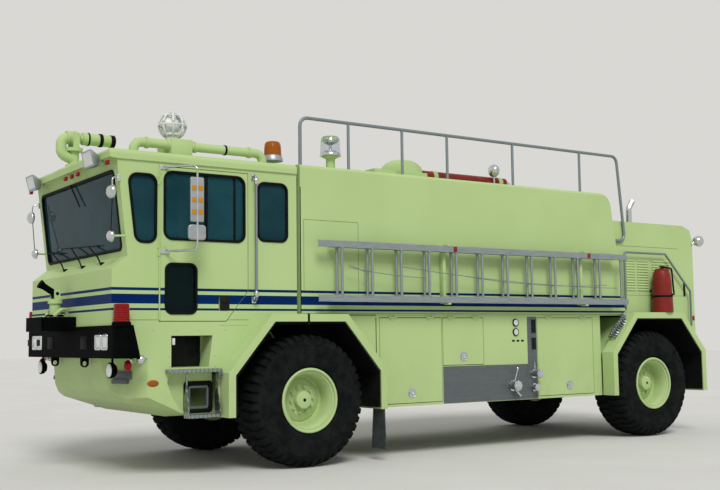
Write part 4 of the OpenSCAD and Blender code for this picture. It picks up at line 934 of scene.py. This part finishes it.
        # Roof turret: an elbow that turns with the swivel, and a banded sleeve that tilts with the barrel
        x, y, z = TRUNNION
        elbow = softened([TRUNNION, (-2.345, y, z), (-2.345, y, 3.60), (-2.20, y, 3.54)], 0.085)
        turning = [tube(elbow, 0.060, steps=24), ball(TRUNNION, (0.086, 0.086), 32, "y"),
                   lathe(band(0.062, 0.078, 0.018, 0.003), (-2.275, y, z), "x", 32)]
        piece("turret_elbow", turning, "lime_enamel", "roof_turret_swivel")
        sleeve = [[0.050, 0.09], [0.072, 0.095], [0.076, 0.15], [0.070, 0.20], [0.070, 0.43],
                  [0.066, 0.445], [0.050, 0.446]]
        piece("turret_sleeve", lathe(sleeve, TRUNNION, "x", 32, True), "lime_enamel", "roof_turret_barrel")
        rings = [lathe(band(0.066, 0.079, w, 0.004), (x + along, y, z), "x", 32)
                 for along, w in ((0.165, 0.013), (0.315, 0.022))]
        mouth = [[0.045, -0.03], [0.074, -0.028], [0.075, 0.022], [0.066, 0.028], [0.048, 0.024],
                 [0.045, 0.0]]
        rings.append(lathe(mouth, (-1.735, y, z), "x", 32, True))
        piece("turret_bands", rings, "seal_rubber", "roof_turret_barrel")
        return {"FINISHED"}


# Front

# Middle of each arch along, half its width at its top and at its shoulders, the shoulders' height, its top's
ARCHES = [(-0.010, 0.466, 0.957, 1.058, 1.637), (5.900, 0.478, 0.912, 1.178, 1.677)]
ARCH_FOOT = 0.64
RED_BEACON = (-2.217, -1.412, 1.634)
FOG_LAMP = (-2.215, -1.14, 1.140)


class TRUCK_OT_front(bpy.types.Operator):
    """Lamps and beacons at the front, nose steps, dark liners that paint the shade in the arches, and the
    bumper's deck and hoses
    """

    bl_idname = "truck.front"
    bl_label = "Front"

    def execute(self, context):
        lenses, bezels = [], []
        for y in (-1.165, -0.975):
            cell = rectangle((y - 0.082, 1.362), (y + 0.082, 1.506), 0.014, 3)
            lenses.append(slab(inset(cell, 0.012), -2.3005, -2.282, "x", 0.004))
            path = np.column_stack([np.full(len(cell), -2.300), cell])
            bezels.append(swept(path, rectangle((-0.012, -0.012), (0.006, 0.012), 0.003, 2), (-1, 0, 0),
                                closed=True))
        pair("headlamp_lenses", lenses, "white_lens", stands_for=["front_lamps"])
        pair("headlamp_bezels", bezels, "chrome_plate")

        ribs = [[0.086, 0.0]]
        for k in range(9):
            ribs += [[0.088 - 0.0008 * k, 0.012 + 0.018 * k], [0.082 - 0.0008 * k, 0.021 + 0.018 * k]]
        ribs += [[0.080, 0.176], [0.070, 0.187], [0.002, 0.190]]
        pair("red_beacons", [lathe(ribs, RED_BEACON, steps=32)], "red_lens")
        foot = [[0.100, -0.04], [0.098, -0.012], [0.092, 0.0], [0.088, 0.006], [0.002, 0.006]]
        pair("red_beacon_feet", [lathe(foot, RED_BEACON, steps=32)], "black_enamel")

        x, y, z = FOG_LAMP
        fog = [lathe([[0.002, 0.055], [0.05, 0.048], [0.078, 0.018], [0.084, -0.018], [0.080, -0.026],
                      [0.072, -0.024], [0.002, -0.020]], FOG_LAMP, "x", 32),
               rod((x + 0.010, y, z + 0.075), (x + 0.010, y, z + 0.132), 0.012)]
        pair("fog_lamp_bowls", fog, "black_enamel")
        lens = [[0.072, -0.023], [0.068, -0.031], [0.04, -0.037], [0.002, -0.039]]
        pair("fog_lamp_lenses", [lathe(lens, FOG_LAMP, "x", 32)], "white_lens")
        pair("turn_lamps", [ball((-2.135, -1.385, 1.190), (0.058, 0.036), 24, "x")], "red_lens")
        hang = [block((-2.118, -1.400, 1.215), (-2.088, -1.370, 1.275)),
                ball((-2.020, -1.455, 1.250), (0.048, 0.048), 24)]
        pair("turn_lamp_hangers", hang, "chrome_plate")
        plate = [block((-0.010, -0.13, 0.0), (0.006, 0.11, 0.085)),
                 block((-0.022, -0.09, -0.045), (0.006, 0.12, 0.004)),
                 block((-0.014, -0.11, 0.075), (-0.002, -0.07, 0.135))]
        pair("nose_steps", [s.turned(spin(29.05)).moved(-2.062, -1.035, 1.04) for s in plate],
             "panel_steel")

        # Dark liners just inside the arches, 8 mm thick, as painted shade of the arches, and plates that
        # close the corners behind the front ones
        shade_liners = []
        for middle, half_top, half, shoulder, top in ARCHES:
            way = np.array([[-half, ARCH_FOOT], [-half, shoulder], [-half_top, top],
                            [half_top, top], [half, shoulder], [half, ARCH_FOOT]])
            way = way * [0.988, 1] - [0, 0.012]
            way[[0, -1], 1] = ARCH_FOOT
            ring = np.concatenate([way, way[::-1] * [0.990, 1] - [0, 0.008]]) + [middle, 0]
            shade_liners.append(skin([on_side(ring, y) for y in (1.519, 0.45)]))
        # Near-black liners: painted shade inside the wheel arches
        pair("arch_shade_liners", shade_liners, "chassis_enamel")
        corner = [[0.430, 1.712], [1.045, 1.712], [1.045, 1.062], [0.965, 1.062], [0.480, 1.645]]
        pair("arch_plates", [skin([on_side(corner, y) for y in (1.296, 1.284)])], "lime_enamel")

        marker = ball((0, 0, 0), (1, 1), 24).turned(np.diag([0.066, 0.016, 0.036]))
        pair("side_markers", [marker.moved(-1.830, -1.318, 0.997)], "amber_lens")
        piece("bumper_deck", block((-2.66, -0.255, 1.714), (-2.30, 0.255, 1.7185), 0.002), "tread_plate")
        slots = [block((-2.676, y - 0.055, 1.40), (-2.670, y + 0.055, 1.47), 0.003) for y in (-0.16, 0.16)]
        slots += [block((-2.310, y - 0.10, 1.36), (-2.302, y + 0.10, 1.50), 0.004) for y in (-0.56, 0.56)]
        piece("bumper_plates", slots, "seal_rubber")

        ways = [[(-2.335, -0.10, 1.72), (-2.36, -0.14, 1.80), (-2.44, -0.20, 1.80), (-2.50, -0.16, 1.73)],
                [(-2.335, 0.10, 1.72), (-2.36, 0.16, 1.79), (-2.46, 0.18, 1.79), (-2.50, 0.12, 1.73)]]
        piece("turret_hoses", [tube(softened(way, 0.03), 0.020, (0, 0.3, 1)) for way in ways],
              "lime_enamel")
        return {"FINISHED"}


# Distance between the teeth on the steps' edges
TOOTH_PITCH = 0.0245


class TRUCK_OT_skirt(bpy.types.Operator):
    """Bolts, seams, the steps' toothed edges and the dark panels inside the step recesses"""

    bl_idname = "truck.skirt"
    bl_label = "Skirt and steps"

    def execute(self, context):
        places = [(-1.833, 1.554), (-1.561, 1.552), (-1.305, 1.551), (-0.985, 1.555), (-1.652, 1.279),
                  (-1.115, 1.280), (-1.115, 1.161)]
        pair("skirt_bolts", [bolts([(x, -BODY_Y, z) for x, z in places])], "lime_enamel")
        joints = [seam(on_side([(a, 1.66), (b, 1.66)], SEAM_Y))
                  for a, b in ((-2.28, -1.775), (-0.97, -0.70))]
        pair("sill_seams", joints, "seal_rubber")

        # Each step has teeth along its edge and bars across its top: places along, and the heights of both
        tooth = lathe([[0.0085, -0.014], [0.0095, 0.0], [0.0085, 0.014]], axis="z", steps=8)
        bar = block((-0.007, -1.39, 0), (0.007, -1.285, 0.005), 0.002)
        steps = [(np.arange(-1.684, -1.07, TOOTH_PITCH), 1.119, 1.133),
                 (np.arange(-1.452, -1.09, TOOTH_PITCH), 0.637, 0.651)]
        teeth = [repeated(tooth, [(x, -1.400, edge) for x in along]) for along, edge, _ in steps]
        teeth += [repeated(bar, [(x, 0, top) for x in along[::2]]) for along, _, top in steps]
        pair("step_teeth", teeth, "ladder_aluminium")

        # Dark panels on the back, the front end and the ceiling of the step recess
        recess = [block((-1.620, -1.092, 1.160), (-1.180, -1.0795, 1.486)),
                  block((-1.627, -1.31, 1.160), (-1.617, -1.08, 1.486)),
                  block((-1.620, -1.31, 1.484), (-1.150, -1.08, 1.493))]
        pair("step_recess_panels", recess, "moulded_abs")
        outer = on_side(rectangle((-1.432, 0.684), (-1.136, 0.982), 0.02), 1.252)
        inner = on_side(rectangle((-1.392, 0.724), (-1.176, 0.942), 0.02), 1.262)
        wide = rectangle((-0.02, -0.022), (0.012, 0.022), 0.004, 2)
        narrow = rectangle((-0.03, -0.012), (0.004, 0.012), 0.004, 2)
        pair("step_frames", [swept(outer, wide, SIDE_OUT, True)], "seal_rubber")
        pair("step_frame_inners", [swept(inner, narrow, SIDE_OUT, True)], "panel_steel")
        pair("step_lamps", [block((-1.606, -1.306, 1.395), (-1.575, -1.27, 1.466), 0.004)], "white_enamel")
        pair("step_brackets", [block((-1.115, -1.404, 1.02), (-1.072, -1.392, 1.10), 0.003)], "panel_steel")
        pair("flare_clips", [block((-0.058, -1.5295, 1.60), (-0.030, -1.49, 1.725), 0.003)], "seal_rubber")
        return {"FINISHED"}


# Body

# The ladder's two sections lie one behind the other: places across of their rails, and heights of these
LADDER_Y = -1.490
SECTION_STEP = 0.062
RAIL_LOW = 1.905
RAIL_HIGH = 2.537
RUNGS = 12
RUNG_PITCH = 0.429
# Outer face of the compartments' doors and the grey panels, and places along and up on it. An outlet has
# its radius and its length too.
PANEL_Y = -1.300
LATCHES = [("middle", 2.395, 1.194), ("front", 1.563, 0.767), ("rear", 4.266, 0.770)]
GAUGES = [(3.29, 1.623), (3.29, 1.498)]
OUTLETS = [(3.21, 0.80, 0.052, 0.130), (3.59, 0.945, 0.040, 0.150), (3.59, 0.765, 0.034, 0.100)]


class TRUCK_OT_body(bpy.types.Operator):
    """The access panel, the latches, gauges, outlets and the ladder"""

    bl_idname = "truck.body"
    bl_label = "Body"

    def execute(self, context):
        panel = rectangle((0.02, 1.97), (0.78, 2.82), 0.012, 3)
        joints = [seam(on_side(panel, SEAM_Y), closed=True),
                  seam(on_side([(-0.02, 1.735), (5.42, 1.735)], SEAM_Y)),
                  swept([(-0.0215, -1.318, 1.74), (-0.0215, -1.318, 3.20)],
                        rectangle((-0.004, -0.004), (0.004, 0.004), 0.001, 2), SIDE_OUT)]
        pair("access_seams", joints, "seal_rubber")
        rivets = [(0.045, -BODY_Y, z) for z in np.arange(2.02, 2.80, 0.075)]
        pair("access_rivets", [bolts(rivets, 0.005, 0.003)], "lime_enamel")

        dish = [[0.062, 0.003], [0.062, -0.004], [0.056, -0.007], [0.050, -0.003], [0.046, -0.001],
                [0.002, -0.001]]
        for name, x, z in LATCHES:
            made = [lathe(dish, (x, PANEL_Y, z), "y", 32),
                    block((x - 0.034, PANEL_Y - 0.009, z - 0.010), (x + 0.034, PANEL_Y, z + 0.010)),
                    ball((x + 0.018, PANEL_Y - 0.006, z - 0.014), (0.016, 0.006), 16, "y")]
            pair(f"latches_{name}", made, "chrome_plate", "hatch_{}_" + name)

        gauge = [[0.050, 0.003], [0.050, -0.016], [0.044, -0.021], [0.040, -0.016], [0.002, -0.015]]
        pair("gauges", [lathe(gauge, (x, PANEL_Y, z), "y", 32) for x, z in GAUGES], "moulded_abs")
        dial = [[0.038, -0.012], [0.038, -0.0175], [0.002, -0.0178]]
        pair("gauge_dials", [lathe(dial, (x, PANEL_Y, z), "y", 32) for x, z in GAUGES], "white_enamel")
        tags = [block((x - 0.022, -1.305, 1.372), (x + 0.022, -1.298, 1.396), 0.002)
                for x in (3.25, 3.33, 3.41)]
        tags += [block((3.575, -1.316, a), (3.645, -1.305, b), 0.006)
                 for a, b in ((1.49, 1.66), (1.27, 1.42))]
        pair("panel_labels", tags, "moulded_abs")

        # Each outlet has a cap with eight lugs and a collar at its foot
        lug = block((-0.006, 0.008, -0.006), (0.006, 0.030, 0.006), 0.002)
        t = np.arange(8) * np.pi / 4
        rings = []
        for x, z, r, length in OUTLETS:
            y = PANEL_Y - length
            cap = [[0.9 * r, 0.03], [r + 0.012, 0.028], [r + 0.014, 0.010], [r + 0.004, 0.004],
                   [r + 0.004, -0.002], [r - 0.004, -0.005], [0.002, -0.005]]
            rings.append(lathe(cap, (x, y, z), "y", 24))
            places = np.column_stack([x + (r + 0.014) * np.cos(t), np.full(len(t), y),
                                      z + (r + 0.014) * np.sin(t)])
            rings.append(repeated(lug, places))
            rings.append(lathe(band(r + 0.002, r + 0.020, 0.012, 0.002), (x, PANEL_Y - 0.012, z), "y", 24))
        levers = [rod((3.21, -1.345, 0.84), (3.255, -1.36, 1.01), 0.010),
                  ball((3.257, -1.361, 1.02), (0.018, 0.022), 16),
                  rod((3.59, -1.345, 0.98), (3.55, -1.37, 1.10), 0.008),
                  rod((3.245, -1.33, 0.74), (3.30, -1.37, 0.66), 0.012)]
        pair("outlet_caps", rings + levers, "chrome_plate")
        places = [(x, -1.3105, z) for x in (2.80, 3.15, 3.50, 3.66) for z in (0.66, 1.06)]
        pair("panel_bolts", [bolts(places, 0.008)], "galvanised_steel")
        self.ladder()
        return {"FINISHED"}

    def ladder(self):
        """Two nested sections with channel rails and fluted rungs, their hooks, cords and red marks."""
        rails, rungs = [], []
        channel = np.array([[0.0, -0.0375], [0.0, 0.0375], [0.030, 0.0375], [0.030, 0.033], [0.005, 0.033],
                            [0.005, -0.033], [0.030, -0.033], [0.030, -0.0375]])
        t = np.linspace(0, 2 * np.pi, 32, endpoint=False)
        radius = 0.0165 - 0.0011 * (np.arange(len(t)) % 4 == 0)
        flute = np.column_stack([radius * np.cos(t), radius * np.sin(t)])
        collar = lathe(band(0.016, 0.024, 0.008, 0.002), steps=16)
        for y, count in ((0.0, RUNGS), (SECTION_STEP, RUNGS - 1)):
            at = LADDER_Y + y
            for z, way in ((RAIL_LOW, 1), (RAIL_HIGH, -1)):
                ends = [(0.115 + 3 * y, at, z), (5.290 - 3 * y, at, z)]
                rails.append(swept(ends, channel * [1, way], (0, 1, 0)))
            for i in range(count):
                x = 0.445 + RUNG_PITCH * i - y / 2
                rungs.append(swept([(x, at + 0.015, 1.880), (x, at + 0.015, 2.562)], flute, (0, 1, 0)))
                rungs.append(repeated(collar, [(x, at + 0.015, 1.948), (x, at + 0.015, 2.494)]))
        hooks = []
        for x in (2.033, 4.456):
            hooks += [block((x - 0.022, -1.398, 1.86), (x + 0.022, -1.318, 2.585)),
                      block((x - 0.022, -1.494, 1.845), (x + 0.022, -1.398, 1.866)),
                      block((x - 0.022, -1.494, 2.576), (x + 0.022, -1.398, 2.597))]
        piece("ladder_rails", rails, "ladder_aluminium", stands_for=["ladder"])
        piece("ladder_rungs", rungs, "ladder_aluminium")
        piece("ladder_hooks", hooks, "lime_enamel")
        marks = [block((x - 0.028, -1.4935, 2.505), (x + 0.028, -1.489, 2.570), 0.002)
                 for x in (2.14, 4.52)]
        piece("ladder_marks", marks, "red_enamel")
        cords = []
        k = np.linspace(0, 1, 17)
        for a, b, sag in (((0.56, 2.27), (1.70, 2.17), 0.02), ((1.31, 2.30), (5.1, 2.10), 0.05),
                          ((2.2, 2.22), (4.9, 2.14), 0.06), ((0.55, 2.30), (0.80, 2.22), 0.0)):
            way = np.column_stack([a[0] + (b[0] - a[0]) * k, np.full(len(k), -1.452),
                                   a[1] + (b[1] - a[1]) * k - sag * 4 * k * (1 - k)])
            cords.append(tube(way, 0.005, (0, 1, 0), 6))
        piece("ladder_lines", cords, "galvanised_steel")


# Engine cover

HOOD_SEAM_Y = -1.2355
SIDE_BOTTLE = (6.110, -1.410)
REAR_FACE = 7.050


class TRUCK_OT_hood(bpy.types.Operator):
    """Latches, seams, the side bottle, the hose bundle and the rear lamps"""

    bl_idname = "truck.hood"
    bl_label = "Engine cover"

    def execute(self, context):
        joints = [seam([(5.46, HOOD_SEAM_Y, z), (end, HOOD_SEAM_Y, z)])
                  for end, z in ((6.72, 2.735), (6.90, 2.02))]
        pair("hood_seams", joints, "seal_rubber")
        pair("hood_latches", [block((5.365, -1.252, 2.04), (5.400, -1.234, 2.17), 0.005),
                              block((6.800, -1.250, 2.02), (6.835, -1.234, 2.22), 0.005),
                              ball((6.049, -1.245, 2.086), (0.020, 0.014), 16, "y")], "moulded_abs")
        cover = [[0.10, 1.764], [0.150, 1.765], [0.152, 1.80], [0.146, 1.98], [0.138, 1.99], [0.142, 2.02],
                 [0.138, 2.20], [0.125, 2.33], [0.100, 2.385], [0.070, 2.400], [0.040, 2.404],
                 [0.002, 2.406]]
        piece("side_bottle_cover", lathe(cover, (*SIDE_BOTTLE, 0), steps=40), "red_enamel")
        valve = [lathe([[0.034, 0.0], [0.034, 0.02], [0.024, 0.03], [0.024, 0.05], [0.002, 0.05]],
                       (6.110, -1.422, 2.392), steps=20),
                 block((6.055, -1.432, 2.428), (6.150, -1.412, 2.446), 0.004),
                 lathe([[0.135, -0.014], [0.148, -0.012], [0.147, 0.012], [0.135, 0.014]],
                       (*SIDE_BOTTLE, 2.00), steps=40),
                 block((6.075, -1.345, 1.965), (6.145, -1.232, 2.035))]
        piece("side_bottle_band", valve, "seal_rubber")
        way = softened([(6.15, -1.43, 2.43), (6.262, -1.47, 2.41), (6.268, -1.485, 2.12),
                        (6.22, -1.535, 2.03), (6.15, -1.562, 2.02)], 0.04)
        piece("side_bottle_hose", tube(way, 0.013, (0, 1, 0.3)), "seal_rubber")

        # A bundle of hose ahead of the rear arch: nine turns that climb along a bar
        k = np.linspace(0, 1, 80)
        t = 18 * np.pi * k
        coil = np.column_stack([5.035 + 0.31 * k + 0.03 * np.cos(t), -1.395 - 0.05 * np.sin(t),
                                1.44 + 0.27 * k + 0.035 * np.cos(t + 1.2)])
        piece("hose_bundle", [tube(coil, 0.013, (0, 1, 0.2), 8),
                              rod((5.02, -1.36, 1.42), (5.36, -1.34, 1.75), 0.022)], "duct_foil")
        outline = rectangle((6.975, 1.655), (7.033, 1.720), 0.008)
        pair("hood_reflectors", [slab(outline, -1.243, -1.234, "y", 0.002)], "red_lens")

        bowl = [[0.002, -0.07], [0.04, -0.066], [0.07, -0.04], [0.082, 0.0], [0.086, 0.035],
                [0.080, 0.045], [0.070, 0.04], [0.002, 0.036]]
        spot = [lathe(bowl, (7.150, -1.265, 2.868), "x", 32),
                rod((7.02, -1.215, 2.815), (7.12, -1.262, 2.86), 0.014),
                lathe([[0.035, -0.012], [0.035, 0.006], [0.002, 0.008]], (7.040, -1.215, 2.810), "x", 20)]
        piece("rear_spotlight", spot, "chrome_plate")
        lens = [[0.045, 0.0], [0.0405, 0.012], [0.0225, 0.018], [0.002, 0.020]]
        lamps, rims = [], []
        for z in (1.385, 1.275):
            at = (REAR_FACE + 0.002, -1.02, z)
            lamps.append(lathe(lens, at, "x", 24))
            rims.append(lathe([[0.046, -0.004], [0.055, 0.0], [0.055, 0.008], [0.046, 0.010]], at, "x", 24))
        pair("rear_lamps", lamps, "red_lens")
        pair("rear_lamp_rims", rims, "chrome_plate")
        piece("rear_plate", block((REAR_FACE, -0.16, 1.22), (REAR_FACE + 0.006, 0.16, 1.40)),
              "white_enamel")
        piece("rear_latches", [block((REAR_FACE, y - 0.015, 2.05), (REAR_FACE + 0.016, y + 0.015, 2.20))
                               for y in (-0.035, 0.035)], "chrome_plate")
        return {"FINISHED"}


# Inside of the cab

def cushion(half, channels=0, steps=40):
    """A stuffed cushion about its middle: a box of half sizes whose faces swell and whose corners draw in.

    With t across and u round, x = a sign(cos t cos u) |cos t|^0.45 |cos u|^0.35 and so on. The thickness
    falls in lines across where channels are sewn.
    """
    t = np.linspace(-1.5, 1.5, steps)[:, None]
    u = np.linspace(0, 2 * np.pi, 2 * steps, endpoint=False)[None, :]

    def power(value, exponent):
        return np.sign(value) * np.abs(value) ** exponent

    x = power(np.cos(t), 0.45) * power(np.cos(u), 0.35)
    y = power(np.cos(t), 0.45) * power(np.sin(u), 0.35)
    z = power(np.sin(t), 0.6) * np.ones_like(u)
    crown = 1 + 0.16 * (1 - x ** 2) * (1 - y ** 2)
    if channels:
        crown = crown - 0.10 * np.exp(-((np.cos(np.pi * channels * (x + 1) / 2)) / 0.16) ** 2)
    return outward(skin(np.stack([x * half[0], y * half[1], z * crown * half[2]], axis=-1)))


# Place along and height of the floor under each row of seats, and the seats' places across
SEAT_ROWS = [(-1.33, 1.641), (-0.52, 1.763)]
SEAT_Y = 0.62


class TRUCK_OT_cabin(bpy.types.Operator):
    """Padded seats on their boxes, the lining of the cab and the instruments"""

    bl_idname = "truck.cabin"
    bl_label = "Cabin"

    def execute(self, context):
        boxes = []
        bottom = cushion((0.258, 0.262, 0.062), 4)
        upright = cushion((0.325, 0.252, 0.048), 5).turned(spin(-82, "y"))
        for row, (x, floor) in enumerate(SEAT_ROWS):
            for side, y in (("left", -SEAT_Y), ("right", SEAT_Y)):
                seat = piece(f"seat_cushion_{row}_{side}", bottom.moved(x - 0.005, y, floor + 0.392),
                             "seat_vinyl", smooth=60)
                back = piece(f"seat_back_{row}_{side}", upright.moved(x + 0.255, y, floor + 0.745),
                             "seat_vinyl", smooth=60, stands_for=["seats"] if row == 0 and y < 0 else ())
                boxes += [block((x - 0.15, y - 0.16, floor), (x + 0.18, y + 0.16, floor + 0.335), 0.01)]
        piece("seat_boxes", boxes, "black_enamel")
        lining = [block((-0.1325, -1.25, 1.80), (-0.1235, 1.25, 3.30)),
                  block((-2.05, -1.25, 3.33), (-0.13, 1.25, 3.3405)),
                  block((-2.02, -1.22, 1.640), (-0.73, 1.22, 1.648))]
        piece("cab_lining", lining, "trim_felt")
        dial = lathe([[0.045, -0.004], [0.045, 0.008], [0.040, 0.012], [0.036, 0.006], [0.002, 0.005]],
                     axis="x", steps=20)
        piece("dash_dials", repeated(dial.turned(spin(8, "y")),
                                     [(-1.968, -SEAT_Y + 0.11 * k, 2.175) for k in (-2, -1, 1, 2)]),
              "silver_paint")
        return {"FINISHED"}


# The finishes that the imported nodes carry
NODE_FINISHES = {
    "lime_enamel": ["cab_roof", "cab_skirt", "lower_body", "front_flares", "rear_flares", "hood",
                    "rear_door_left", "rear_door_right", "hatch_left_front", "hatch_left_middle",
                    "hatch_left_rear", "hatch_right_front", "hatch_right_middle", "hatch_right_rear",
                    "roof_turret_swivel", "roof_turret_barrel", "bumper_turret_swivel", "tailboard",
                    "roof_hatch"],
    "striped_enamel": ["cab_body", "cab_front", "door_left", "door_right", "tank_body"],
    "chassis_enamel": ["frame", "springs", "front_axle", "rear_axle", "driveline", "knuckle_left",
                       "knuckle_right"],
    "black_enamel": ["bumper", "bumper_turret_nozzle"],
    "screen_glass": ["cab_glass"],
    "window_glass": ["door_glass_left", "door_glass_right"],
    "white_lens": ["front_lamps"],
    "amber_lens": ["roof_lights"],
    "ladder_aluminium": ["ladder"],
    "tread_plate": ["cab_steps"],
    "panel_steel": ["pump_panels"],
    "chrome_plate": ["mirror_left", "mirror_right", "exhaust"],
    "galvanised_steel": ["handrail", "grab_rails"],
    "seat_vinyl": ["seats"],
    "moulded_abs": ["dash"],
    "red_enamel": ["extinguishers"],
    "cast_iron": ["engine"],
    "flap_rubber": ["mud_flaps"],
}


class TRUCK_OT_paint(bpy.types.Operator):
    """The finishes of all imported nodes"""

    bl_idname = "truck.paint"
    bl_label = "Paint"

    def execute(self, context):
        make_finishes(context.scene.truck_looks)
        for material, nodes in NODE_FINISHES.items():
            for node in nodes:
                dress(node, material)
        return {"FINISHED"}


# Stage

# The camera's turn, pitch and roll in degrees, its place from the front axle, its focal length in pixels
# and the width of its sensor in millimetres
CAMERA_TURN = (34.347, 5.107, -0.733)
CAMERA_PLACE = np.array([-6.2822, -11.6938, 1.4302])
FOCAL_LENGTH = 1054.04
SENSOR_WIDTH = 36

FLOOR_RADIUS = 90


class TRUCK_OT_stage(bpy.types.Operator):
    """The floor, the world, the lamps and the camera"""

    bl_idname = "truck.stage"
    bl_label = "Stage"

    def execute(self, context):
        scene = context.scene
        scene.view_settings.view_transform = "Standard"

        # The camera stands where the photograph was taken
        yaw, pitch, roll = (math.radians(angle) for angle in CAMERA_TURN)
        ahead = np.array([math.sin(yaw) * math.cos(pitch), math.cos(yaw) * math.cos(pitch),
                          math.sin(pitch)])
        level = np.array([math.cos(yaw), -math.sin(yaw), 0.0])
        up = np.cross(level, ahead)
        right = math.cos(roll) * level + math.sin(roll) * up
        top = math.cos(roll) * up - math.sin(roll) * level
        camera = bpy.data.objects.new("camera", bpy.data.cameras.new("camera"))
        camera.data.lens = FOCAL_LENGTH / PHOTO_SIZE[0] * SENSOR_WIDTH
        camera.data.sensor_width = SENSOR_WIDTH
        camera.data.clip_end = 500
        matrix = np.eye(4)
        matrix[:3, :3] = np.column_stack([right, top, -ahead])
        matrix[:3, 3] = CAMERA_PLACE + AXLE
        camera.matrix_world = Matrix(matrix.tolist())
        scene.collection.objects.link(camera)
        scene.camera = camera

        # A pale floor of trowelled concrete, wide enough to run to the horizon
        tree, shader, place = finish("pale_floor", Roughness=0.9)
        tree.links.new(clouded(tree, place, 1.5, "#d3d2cd", "#d8d7d3"), shader.inputs["Base Color"])
        edge = np.linspace(0, 2 * np.pi, 96, endpoint=False)
        floor_mesh = bpy.data.meshes.new("floor")
        rim = np.column_stack([FLOOR_RADIUS * np.cos(edge), FLOOR_RADIUS * np.sin(edge), 0 * edge])
        floor_mesh.from_pydata(rim.tolist(), [], [list(range(len(edge)))])
        floor_mesh.materials.append(FINISHES["pale_floor"])
        floor = bpy.data.objects.new("floor", floor_mesh)
        scene.collection.objects.link(floor)

        world = bpy.data.worlds.new("studio")
        scene.world = world
        world.use_nodes = True
        tree = world.node_tree
        tree.nodes.clear()
        rays = add(tree, "ShaderNodeLightPath")
        seen = rays.outputs["Is Camera Ray"]
        for output in ("Is Glossy Ray", "Is Transmission Ray"):
            seen = add(tree, "ShaderNodeMath", {"operation": "MAXIMUM"},
                       links={0: seen, 1: rays.outputs[output]}).outputs[0]
        tone = add(tree, "ShaderNodeMix", {"data_type": "RGBA"},
                   {6: linear("#bcbcbc"), 7: linear("#d9d8d4")}, {0: seen}).outputs[2]
        ground = add(tree, "ShaderNodeBackground", values={"Strength": 1.0}, links={"Color": tone})
        add(tree, "ShaderNodeOutputWorld", links={"Surface": ground.outputs[0]})

        # One broad lamp high over the driver's side and the front, as soft as a large diffuser
        lamp = bpy.data.lights.new("key", "SUN")
        lamp.energy = 2.0
        lamp.angle = math.radians(24)
        key = bpy.data.objects.new("key", lamp)
        away = np.array([-0.28, -0.62, 0.72])
        z = away / np.linalg.norm(away)
        x = np.cross([0, 0, 1], z)
        x /= np.linalg.norm(x)
        turn = np.eye(4)
        turn[:3, :3] = np.column_stack([x, np.cross(z, x), z])
        key.matrix_world = Matrix(turn.tolist())
        scene.collection.objects.link(key)
        return {"FINISHED"}


class TRUCK_PT_panel(bpy.types.Panel):
    """Lists the pieces and the values that a user may change"""

    bl_idname = "TRUCK_PT_panel"
    bl_label = "Fire truck"
    bl_space_type = "VIEW_3D"
    bl_region_type = "UI"
    bl_category = "Fire truck"

    def draw(self, context):
        for group in (context.scene.truck_looks, context.scene.truck_sizes):
            for key in group.__annotations__:
                self.layout.prop(group, key)
        for operator in OPERATORS:
            self.layout.operator(operator.bl_idname)


OPERATORS = [TRUCK_OT_paint, TRUCK_OT_stage, TRUCK_OT_wheels, TRUCK_OT_glazing, TRUCK_OT_doors,
             TRUCK_OT_roof, TRUCK_OT_front, TRUCK_OT_skirt, TRUCK_OT_body, TRUCK_OT_hood,
             TRUCK_OT_cabin]
CLASSES = [TruckLooks, TruckSizes, *OPERATORS, TRUCK_PT_panel]


def register():
    """Registers the classes and hangs the two groups of values on the scene."""
    for item in CLASSES:
        bpy.utils.register_class(item)
    bpy.types.Scene.truck_looks = bpy.props.PointerProperty(type=TruckLooks)
    bpy.types.Scene.truck_sizes = bpy.props.PointerProperty(type=TruckSizes)


def unregister():
    """Takes the groups and the classes away again."""
    del bpy.types.Scene.truck_sizes
    del bpy.types.Scene.truck_looks
    for item in reversed(CLASSES):
        bpy.utils.unregister_class(item)


def main():
    """Makes everything in order."""
    register()
    for operator in OPERATORS:
        group, name = operator.bl_idname.split(".")
        getattr(getattr(bpy.ops, group), name)()


if __name__ == "__main__":
    main()
